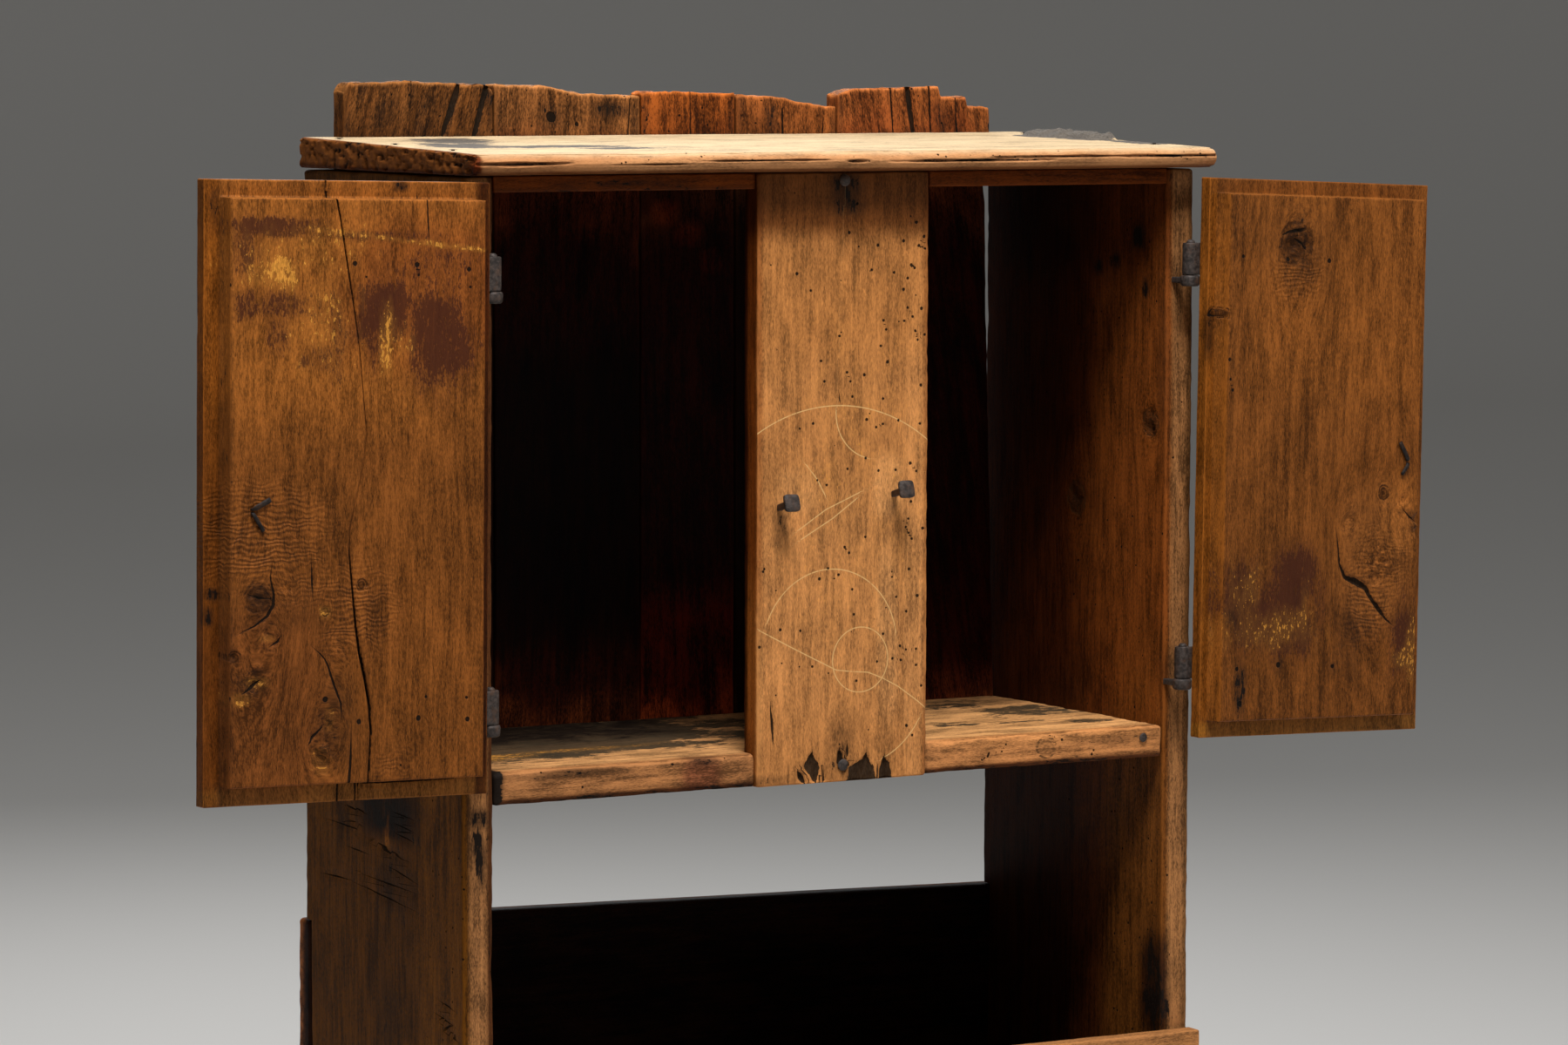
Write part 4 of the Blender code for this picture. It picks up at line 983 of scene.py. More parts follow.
    grey_mask = fade(tree, total_of(tree, grey, centred(tree, ragged, 1.8), centred(tree, patchy, 1.2)), 0.52, 0.66)
    glaze = maths(tree, "MULTIPLY", fade(tree, total_of(tree, paint, centred(tree, streak, 1.2)), 0.05, 0.95), 0.42)
    glaze = maths(tree, "MULTIPLY", glaze, fade(tree, paint, 0.0, 0.15))
    broken = total_of(
        tree, paint, centred(tree, ragged, 1.5), centred(tree, patchy, 1.3), centred(tree, speck, 1.9), centred(tree, streak, 0.6)
    )
    film = maths(tree, "MULTIPLY", fade(tree, broken, 0.62, 0.84), fade(tree, paint, 0.05, 0.25))
    thin = total_of(tree, 0.82, centred(tree, fleck, 0.8))
    crumbs = total_of(tree, flake, centred(tree, chips, 2.6), centred(tree, patchy, 1.1), centred(tree, speck, 1.3))
    flake_mask = maths(tree, "MULTIPLY", fade(tree, crumbs, 0.80, 0.92), fade(tree, flake, 0.05, 0.25))
    dusted = fade(tree, total_of(tree, flake, centred(tree, patchy, 1.2), centred(tree, fleck, 0.8)), 0.1, 1.0)
    dusted = maths(tree, "MULTIPLY", maths(tree, "MULTIPLY", dusted, fade(tree, flake, 0.0, 0.2)), 0.24)
    # Stain marks: real soot and grease, and also painted shade where they darken undersides and insides
    crisp_stain_and_shade = fade(tree, total_of(tree, stain_and_shade, centred(tree, ragged, 2.4), centred(tree, patchy, 1.0)), 0.72, 0.86)
    soft_stain_and_shade = fade(tree, total_of(tree, stain_and_shade, centred(tree, ragged, 0.9), centred(tree, streak, 0.5)), 0.05, 1.0)
    stain_and_shade_mask = maths(tree, "MAXIMUM", crisp_stain_and_shade, maths(tree, "MULTIPLY", soft_stain_and_shade, 0.7))
    stain_and_shade_mask = maths(tree, "MULTIPLY", stain_and_shade_mask, fade(tree, stain_and_shade, 0.0, 0.15))
    grey_tone = blend(tree, fade(tree, fleck, 0.35, 0.65), dimmed(paints["grey"], 0.6 * np.array(crust)), dimmed(paints["grey"], 1.5 * np.array(crust)))
    flake_tone = blend(tree, fade(tree, fleck, 0.35, 0.65), dimmed(paints["flake"], 0.7), dimmed(paints["flake"], 1.25))
    colour = blend(tree, maths(tree, "MULTIPLY", grey_mask, 0.92), colour, grey_tone)
    colour = blend(tree, glaze, colour, opaque(paints["paint"]))
    colour = blend(tree, maths(tree, "MULTIPLY", film, thin), colour, opaque(paints["paint"]))
    colour = blend(tree, dusted, colour, dimmed(paints["flake"], 0.7))
    colour = blend(tree, maths(tree, "MULTIPLY", flake_mask, 0.75), colour, flake_tone)
    colour = blend(tree, stain_and_shade_mask, colour, opaque(paints["stain_and_shade"]))

    crack_parts = put(tree, "ShaderNodeSeparateXYZ", {0: attribute(tree, "crack").outputs["Vector"]}).outputs
    frayed = maths(tree, "MULTIPLY", crack_parts[1], centred(tree, chips, 0.9))
    side = maths(tree, "ABSOLUTE", total_of(tree, crack_parts[0], centred(tree, ragged, 1.6), frayed))
    side = maths(tree, "SUBTRACT", side, total_of(tree, crack_parts[1], centred(tree, chips, 0.8)))
    open_crack = maths(tree, "MULTIPLY", fade(tree, side, 0.22, -0.12), crack_parts[2])
    open_crack = maths(tree, "MULTIPLY", open_crack, fade(tree, crack_parts[1], -0.1, 0.7))
    far, size = flat_length(tree, attribute(tree, "bore").outputs["Vector"])
    pricked = fade(tree, maths(tree, "SUBTRACT", total_of(tree, far, centred(tree, chips, 1.6)), size), 0.35, -0.25)
    cells = put(tree, "ShaderNodeTexVoronoi", {"Vector": lay, "Scale": 150.0})
    lot = put(tree, "ShaderNodeSeparateColor", {0: cells.outputs["Color"]}).outputs
    bored = fade(tree, maths(tree, "SUBTRACT", cells.outputs["Distance"], maths(tree, "MULTIPLY", lot[1], 0.08)), 0.15, 0.10)
    bored = maths(tree, "MULTIPLY", bored, maths(tree, "LESS_THAN", lot[0], worm))
    hollow = maths(tree, "MAXIMUM", open_crack, maths(tree, "MAXIMUM", bored, pricked))
    if scribed:
        lines = None
        for label in ("scribe_a", "scribe_b", "scribe_c"):
            sides = put(tree, "ShaderNodeSeparateXYZ", {0: attribute(tree, label).outputs["Vector"]}).outputs
            for one_side in sides[:3]:
                line = fade(tree, maths(tree, "ABSOLUTE", one_side), 1.0, 0.3)
                lines = line if lines is None else maths(tree, "MAXIMUM", lines, line)
        faint = maths(tree, "MULTIPLY", lines, fade(tree, ragged, 0.25, 0.50))
        colour = blend(tree, maths(tree, "MULTIPLY", faint, 0.90), colour, opaque(paints["scribe"]))
    pit = maths(tree, "MULTIPLY", fade(tree, crack_parts[1], 1.5, 5.0), fade(tree, speck, 0.35, 0.65))
    pit = blend(tree, pit, opaque(paints["hollow"]), dimmed(paints["hollow"], 4.0))
    colour = blend(tree, maths(tree, "MULTIPLY", hollow, 0.95), colour, pit)
    tree.links.new(colour, shader.inputs["Base Color"])

    gloss = total_of(tree, centred(tree, fleck, 0.35), maths(tree, "MULTIPLY", film, -0.06), roughness)
    gloss = maths(tree, "ADD", gloss, maths(tree, "MULTIPLY", hollow, 0.4))
    tree.links.new(gloss, shader.inputs["Roughness"])
    shader.inputs["Specular IOR Level"].default_value = 0.06
    height = total_of(
        tree,
        maths(tree, "MULTIPLY", fleck, 0.55),
        maths(tree, "MULTIPLY", streak, 0.35),
        maths(tree, "MULTIPLY", maths(tree, "MULTIPLY", ripple, curl), 0.8),
        maths(tree, "MULTIPLY", maths(tree, "MULTIPLY", total_of(tree, chips, speck), lump), 2.4),
        maths(tree, "MULTIPLY", pore_mask, -0.5),
        maths(tree, "MULTIPLY", rim, -0.8),
        maths(tree, "MULTIPLY", hollow, -1.8),
        maths(tree, "MULTIPLY", maths(tree, "MAXIMUM", film, flake_mask), 0.3),
    )
    bump = put(tree, "ShaderNodeBump", {"Height": height, "Distance": 0.0010, "Strength": 0.75})
    tree.links.new(bump.outputs["Normal"], shader.inputs["Normal"])
    return made


RUST = (0.085, 0.038, 0.018)


def iron_finish(name, colour, shine):
    """Hand-forged iron: dark scale with rubbed high places and brown rust."""
    made, tree, shader = new_finish(name)
    place = put(tree, "ShaderNodeTexCoord").outputs["Object"]
    scale = noise(tree, place, (240, 240, 240), 5.0, 0.6)
    rust = noise(tree, place, (75, 75, 75), 4.0, 0.6)
    fine = noise(tree, place, (1100, 1100, 1100), 3.0, 0.6)
    base = np.array(colour)
    tint = blend(tree, fade(tree, scale, 0.35, 0.68), opaque(base * 0.55), opaque(base * 1.7))
    tint = blend(tree, maths(tree, "MULTIPLY", fade(tree, rust, 0.5, 0.7), 0.6), tint, opaque(np.array(RUST) * shine))
    tree.links.new(tint, shader.inputs["Base Color"])
    shader.inputs["Metallic"].default_value = 0.20
    tree.links.new(maths(tree, "ADD", maths(tree, "MULTIPLY", scale, 0.35), 0.42), shader.inputs["Roughness"])
    shader.inputs["Specular IOR Level"].default_value = 0.30 * shine
    height = maths(tree, "ADD", scale, maths(tree, "MULTIPLY", fine, 0.35))
    bump = put(tree, "ShaderNodeBump", {"Height": height, "Distance": 0.0007, "Strength": 0.6})
    tree.links.new(bump.outputs["Normal"], shader.inputs["Normal"])
    return made


def colour_property(label, note, value):
    """A linear colour that the user may change."""
    return bpy.props.FloatVectorProperty(
        name=label, description=note, default=value, size=3, min=0.0, max=1.0, subtype="COLOR"
    )


class SideboardTimber(bpy.types.PropertyGroup):
    """Colours of the timbers, of what stains them, and of the iron."""

    door: colour_property("Door", "Middle tone of the doors", (0.134, 0.0418, 0.0074))
    stile: colour_property("Stile", "Middle tone of the centre stile", (0.360, 0.145, 0.042))
    side: colour_property("Side", "Middle tone of the sides", (0.258, 0.110, 0.037))
    top: colour_property("Top", "Middle tone of the top board", (0.560, 0.410, 0.240))
    shelf: colour_property("Shelf", "Middle tone of the cupboard's floor", (0.430, 0.205, 0.076))
    rail: colour_property("Rail", "Middle tone of the rail", (0.098, 0.0205, 0.0020))
    back: colour_property("Back", "Middle tone of the back planks", (0.185, 0.060, 0.017))
    front: colour_property("Front", "Middle tone of the front planks", (0.318, 0.132, 0.043))
    bin: colour_property("Bin", "Middle tone of the bin's floor", (0.200, 0.100, 0.040))
    paint: colour_property("Old paint", "Dark red-brown paint left on the doors", (0.047, 0.0130, 0.0064))
    flake: colour_property("Flaked ground", "Ochre ground under the paint", (0.560, 0.238, 0.036))
    grey: colour_property("Grey crust", "Weathered grey crust", (0.072, 0.068, 0.066))
    # The stain colour also paints shade under the shelf and inside the bin
    stain_and_shade: colour_property("Stain", "Soot and old grease", (0.010, 0.006, 0.004))
    hollow: colour_property("Hollow", "Inside of cracks and worm holes", (0.006, 0.004, 0.0025))
    scribe: colour_property("Scribe", "Scribed lines on the stile", (0.600, 0.360, 0.140))
    iron: colour_property("Iron", "Forged iron", (0.034, 0.025, 0.021))


class SideboardWear(bpy.types.PropertyGroup):
    """How far the boards are worn."""

    arris: bpy.props.FloatProperty(
        name="Arris", description="Rounding of the boards' edges", default=0.003, min=0.0005, max=0.01, unit="LENGTH"
    )
    wave: bpy.props.FloatProperty(
        name="Wave", description="Depth of the hewn hollows", default=0.0015, min=0.0, max=0.005, unit="LENGTH"
    )


class SideboardStage(bpy.types.PropertyGroup):
    """Camera, lamps and floor."""

    lens: bpy.props.FloatProperty(
        name="Lens", description="Focal length on a 36 mm frame, in millimetres", default=133.0, min=20.0, max=300.0
    )
    camera: bpy.props.FloatVectorProperty(
        name="Camera", description="Place of the camera", default=(-2.9667, -4.9659, 1.5771), subtype="TRANSLATION"
    )
    yaw: bpy.props.FloatProperty(name="Yaw", description="Turn of the view to the right", default=0.5412, subtype="ANGLE")
    pitch: bpy.props.FloatProperty(name="Pitch", description="Tilt of the view down", default=0.0847, subtype="ANGLE")
    roll: bpy.props.FloatProperty(name="Roll", description="Turn of the frame", default=0.0026, subtype="ANGLE")
    key: bpy.props.FloatProperty(name="Key", description="Power of the lamp above the front", default=246.0, unit="POWER")
    fill: bpy.props.FloatProperty(name="Fill", description="Strength of the even light", default=0.14, min=0.0, max=2.0)
    floor: colour_property("Floor", "Colour of the floor and backdrop", (0.74, 0.73, 0.71))


def timber(kind, dark=0.36, light=1.55, **options):
    """The finish of one kind of timber, made once: darker and lighter tones come from its middle one."""
    name = "timber_" + kind
    if name in bpy.data.materials:
        return bpy.data.materials[name]
    settings = bpy.context.scene.sideboard_timber
    middle = np.array(getattr(settings, kind))
    tones = (middle * dark, middle, np.minimum(middle * light, 0.85))
    paints = {key: getattr(settings, key) for key in ("paint", "flake", "grey", "stain_and_shade", "hollow", "scribe")}
    return timber_finish(name, tones, paints, **options)


def forged(name="forged_iron", share=1.0):
    """The iron finish, made once under each name, with its tone multiplied by a share."""
    if name in bpy.data.materials:
        return bpy.data.materials[name]
    return iron_finish(name, np.array(bpy.context.scene.sideboard_timber.iron) * share, share)


class PieceOperator:
    """Settings that every operator here shares."""

    bl_options = {"REGISTER", "UNDO"}

    @property
    def wear(self):
        return bpy.context.scene.sideboard_wear


def rear_rebate(low_z, high_z, depth):
    """Cuts the rear edge back between two heights."""

    def shape(rest, worn):
        inside = (rest[:, Z] > low_z) & (rest[:, Z] < high_z)
        middle = (FRONT_Y + REAR_Y) / 2
        share = np.clip((rest[:, Y] - middle) / (REAR_Y - middle), 0, 1)
        worn[:, Y] -= depth * share * inside
        return worn

    return shape


class SIDEBOARD_OT_sides(PieceOperator, bpy.types.Operator):
    """Two full-height side planks"""

    bl_idname = "sideboard.sides"
    bl_label = "Sides"

    def execute(self, context):
        finish = timber("side", figure=0.30, fleck_weight=1.5, streaks=1.0, pore=0.75)
        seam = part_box("lower_back_upper")[1][Z]
        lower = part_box("lower_back_lower")[0]
        saw = [
            (((*first, 0.0), (*np.mean((first, last), 0), 0.00075), (*last, 0.0)), -1)
            for first, last in SAW_MARKS
        ]
        marks = {
            "left": {
                "stain_and_shade": (
                    (-0.420, 0.016, 0.818, 0.012, 0.058, 0.024, 0.85),
                    (-0.420, 0.000, 0.750, 0.012, 0.036, 0.050, 0.52),
                    (-0.420, 0.020, 0.620, 0.012, 0.024, 0.050, 0.48),
                    (-0.402, FRONT_Y, 0.832, 0.011, 0.012, 0.010, 0.9),
                    (-0.404, FRONT_Y, 0.806, 0.006, 0.012, 0.014, 0.9),
                    (-0.400, FRONT_Y, 0.782, 0.007, 0.012, 0.020, 0.9),
                ),
                "worm": ((-0.400, FRONT_Y, 0.66, 0.02, 0.02, 0.14, 0.5), (-0.42, FRONT_Y, 0.4, 0.02, 0.06, 0.4, 0.25)),
            },
            "right": {
                "stain_and_shade": (
                    (0.386, -0.110, 1.180, 0.012, 0.014, 0.012, 0.60),
                    (0.386, 0.024, 1.095, 0.012, 0.010, 0.018, 0.55),
                    (0.386, -0.089, 1.3705, 0.012, 0.011, 0.013, 1.10),
                    (0.386, -0.014, 1.3370, 0.012, 0.010, 0.010, 1.00),
                    (0.386, -0.045, 1.3450, 0.012, 0.010, 0.008, 0.90),
                    (0.386, -0.101, 1.3177, 0.012, 0.007, 0.010, 0.90),
                    (0.386, -0.126, 0.605, 0.012, 0.022, 0.055, 0.95),
                    (0.402, FRONT_Y, 0.934, 0.020, 0.012, 0.018, 0.60),
                    (0.402, FRONT_Y, 1.345, 0.020, 0.012, 0.016, 0.45),
                    (0.386, -0.132, 1.25, 0.010, 0.010, 0.10, 0.45),
                ),
                "worm": ((0.386, -0.10, 0.70, 0.02, 0.05, 0.12, 0.4), (0.386, -0.05, 1.1, 0.02, 0.10, 0.3, 0.10)),
            },
        }
        tints = {
            "left": (
                # Painted shade: the left side's outer face darkened
                (-0.420, 0.03, 0.72, 0.0065, 0.40, 0.90, 0.33, 0.255, 0.058),
                (-0.420, 0.016, 0.818, 0.0065, 0.050, 0.022, 0.30, 0.26, 0.24),
                (-0.420, 0.021, 0.812, 0.0065, 0.0050, 0.022, 6.0, 6.0, 6.0),
                (-0.420, -0.090, 0.70, 0.0065, 0.035, 0.20, 1.35, 1.35, 1.30),
                (-0.386, 0.03, 0.72, 0.0065, 0.40, 1.00, 0.21, 0.16, 0.13),
            ),
            "right": (
                (0.386, 0.03, 0.75, 0.0065, 0.40, 0.90, 0.60, 0.37, 0.17),
                # Painted shade: the inner face darker towards the rear
                (0.386, 0.15, 0.90, 0.0065, 0.13, 0.80, 0.35, 0.30, 0.30),
                (0.386, 0.05, 0.45, 0.0065, 0.40, 0.40, 0.55, 0.55, 0.60),
                # Painted shade: the inner face darker at the top rear, under the top board
                (0.386, 0.03, 1.420, 0.0065, 0.160, 0.080, 0.45, 0.38, 0.34),
                (0.386, 0.10, 1.280, 0.0065, 0.090, 0.140, 0.60, 0.52, 0.48),
                (0.386, -0.10, 0.60, 0.0065, 0.055, 0.26, 1.45, 1.75, 1.6),
                (0.386, -0.124, 0.600, 0.0065, 0.020, 0.045, 0.42, 0.36, 0.34),
                (0.420, 0.03, 0.72, 0.0065, 0.40, 0.90, 0.50, 0.50, 0.48),
            ),
        }
        knots = {"left": ((0.02, 1.2, 0.02), (-0.05, 0.35, 0.018)), "right": ((-0.110, 1.180, 0.014), (0.024, 1.095, 0.016))}
        for number, name in enumerate(("left", "right")):
            low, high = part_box("side_" + name)
            top = seam + SEAT
            plank(
                "side_" + name,
                low,
                high,
                (Y, X, Z),
                (0.004, 0.0042, 0.0042),
                finish,
                "side_wood",
                3 + number,
                wear=self.wear.arris * 1.3,
                wave=(self.wear.wave, self.wear.wave * 1.8, self.wear.wave),
                extra={Z: (lower[Z], top - 0.0225 * number)},
                shape=rear_rebate(lower[Z] - SEAT, top - 0.0225 * number, REAR_Y - lower[Y] + SEAT),
                knots=knots[name],
                cracks=saw if name == "left" else (),
                marks=marks[name],
                tints=tints[name],
                pith=(0.26, -0.02, 0.004),
            )
        return {"FINISHED"}


class SIDEBOARD_OT_top(PieceOperator, bpy.types.Operator):
    """Top board with a rounded front edge, notched round the back planks"""

    bl_idname = "sideboard.top"
    bl_label = "Top board"

    def execute(self, context):
        finish = timber("top", dark=0.55, light=1.22, figure=0.30, pore=0.35, roughness=0.66)
        low, high = (np.array(corner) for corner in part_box("top_board"))
        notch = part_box("back_plank_1")[0][Y] - SEAT

        def end_grain(rest):
            """Broken end: clefts that run through the thickness, and pits."""
            clefts = layered_noise(rest * (0, 1, 0.30), 0.017, 74, 2)
            pits = layered_noise(rest * (0, 1, 1), 0.0046, 75, 2)
            return 0.45 * smoothstep(clefts, 0.50, 0.75) + 0.55 * smoothstep(pits, 0.42, 0.75)

        def soil(rest):
            """Darker over the left end, most in its clefts and pits."""
            return (0.22 + 0.62 * smoothstep(end_grain(rest), 0.25, 0.80)) * (rest[:, X] < low[X] + 0.003)

        def shape(rest, worn):
            """Front edge follows the moulded profile; the rear edge stands back between the sides."""
            down = (high[Z] - rest[:, Z]) / (high[Z] - low[Z])
            front = np.clip((low[Y] + 0.030 - rest[:, Y]) / 0.030, 0, 1)
            worn[:, Y] += np.interp(down, TOP_EDGE_DOWN, TOP_EDGE_BACK) * front**2
            start = notch - 0.04
            rear = np.clip((rest[:, Y] - start) / (high[Y] - start), 0, 1)
            worn[:, Y] -= (high[Y] - notch) * rear * (np.abs(rest[:, X]) < INNER_X)
            groove = blobs(rest, TOP_CHANNELS, 73, 1.3) * (rest[:, Y] < low[Y] + 0.001)
            worn[:, Y] += 0.0030 * smoothstep(groove, 0.25, 0.6)
            end = np.clip((low[X] + 0.012 - rest[:, X]) / 0.012, 0, 1)
            worn[:, X] += 0.005 * end * end_grain(rest)
            crust = smoothstep(blobs(rest, TOP_CRUST, 71), 0.25, 0.55)
            lumps = 0.0020 + 0.0085 * layered_noise(rest, 0.011, 72, 2)
            worn[:, Z] += crust * lumps * (rest[:, Z] > high[Z] - 1e-4)
            worn[:, Z] += np.interp(rest[:, Y], (low[Y], high[Y]), TOP_TILT) * (1 - down)
            return worn

        top = high[Z]
        plank(
            "top_board",
            low,
            high,
            (Y, Z, X),
            (0.0036, 0.0028, 0.0028),
            finish,
            "top_wood",
            11,
            wear=self.wear.arris * 1.2,
            wave=(self.wear.wave * 1.6, self.wear.wave, self.wear.wave),
            extra={X: (-INNER_X, INNER_X)},
            fine={Z: np.arange(1.4495, 1.4640, 0.0008), X: np.arange(low[X], low[X] + 0.010, 0.0012)},
            shape=shape,
            cracks=(
                (((-0.10, -0.30, 0.0), (-0.099, -0.22, 0.0006), (-0.098, -0.12, 0.0)), 1),
                (((-0.03, 0.05, 0.0), (-0.031, 0.15, 0.0006), (-0.028, 0.24, 0.0)), 1),
            ),
            marks={
                "grey": (
                    (-0.305, 0.095, top, 0.040, 0.050, 0.02, 1.15),
                    (-0.345, 0.005, top, 0.042, 0.046, 0.02, 1.15),
                    (-0.255, -0.030, top, 0.062, 0.022, 0.02, 1.05),
                    (-0.215, -0.075, top, 0.050, 0.016, 0.02, 1.00),
                    *((x, y, z, 1.25 * wide, 1.15 * deep, tall, 2.2) for x, y, z, wide, deep, tall, _ in TOP_CRUST),
                    (0.410, -0.045, top, 0.018, 0.050, 0.02, 1.05),
                ),
                "stain_and_shade": (
                    (-0.425, -0.160, 1.452, 0.010, 0.020, 0.02, 0.50),
                    *TOP_CHANNELS,
                    (0.0, -0.166, 1.4635, 0.480, 0.006, 0.0010, 0.38),
                ),
                "worm": ((0.20, -0.172, 1.457, 0.30, 0.02, 0.006, 0.9), (-0.2, -0.172, 1.457, 0.20, 0.02, 0.006, 0.6)),
            },
            tints=(
                (0.0, low[Y], 1.448, 0.70, 0.010, 0.014, 0.75, 0.47, 0.32),
                (-0.380, low[Y], 1.452, 0.070, 0.012, 0.020, 0.85, 0.80, 0.76),
                (-0.425, 0.02, 1.453, 0.006, 0.40, 0.030, 0.33, 0.142, 0.050),
                # Painted shade: the underside darkened
                (0.0, 0.02, 1.440, 0.70, 0.40, 0.004, 0.35, 0.26, 0.2),
                (-0.2, -0.05, top, 0.25, 0.12, 0.010, 1.05, 1.05, 1.05),
            ),
            soil=soil,
            pith=(0.05, -0.05, 0.02),
        )
        return {"FINISHED"}


def front_notch(low, high):
    """Sets the front edge back where the stile is let in."""
    depth = STILE_HIGH[Y] + SEAT - low[Y]
    left, right = STILE_LOW[X] - SEAT, STILE_HIGH[X] + STILE_PLAY

    def shape(rest, worn):
        inside = (rest[:, X] > left) & (rest[:, X] < right)
        share = np.clip((low[Y] + 0.045 - rest[:, Y]) / 0.045, 0, 1)
        worn[:, Y] += depth * share * inside
        return worn

    return shape, {X: (left, right)}


def arc_path(centre_x, centre_z, radius, start, end):
    """Points along an arc, in 3 degree steps."""
    angles = np.radians(np.linspace(start, end, max(8, abs(end - start) // 3)))
    return np.stack([centre_x + radius * np.cos(angles), SHELF_BOTTOM + centre_z + radius * np.sin(angles)], 1)


def scribe_field(paths):
    """Signed distances to three scribed lines, in units of their half width; far ends fade."""

    def made(across, along, share):
        sides = [np.clip(path_distance(across, along, path)[0] / 0.00085, -20, 20) for path in paths]
        return np.where(share[:, None] < -0.9, np.stack(sides, 1), 20.0)

    return made


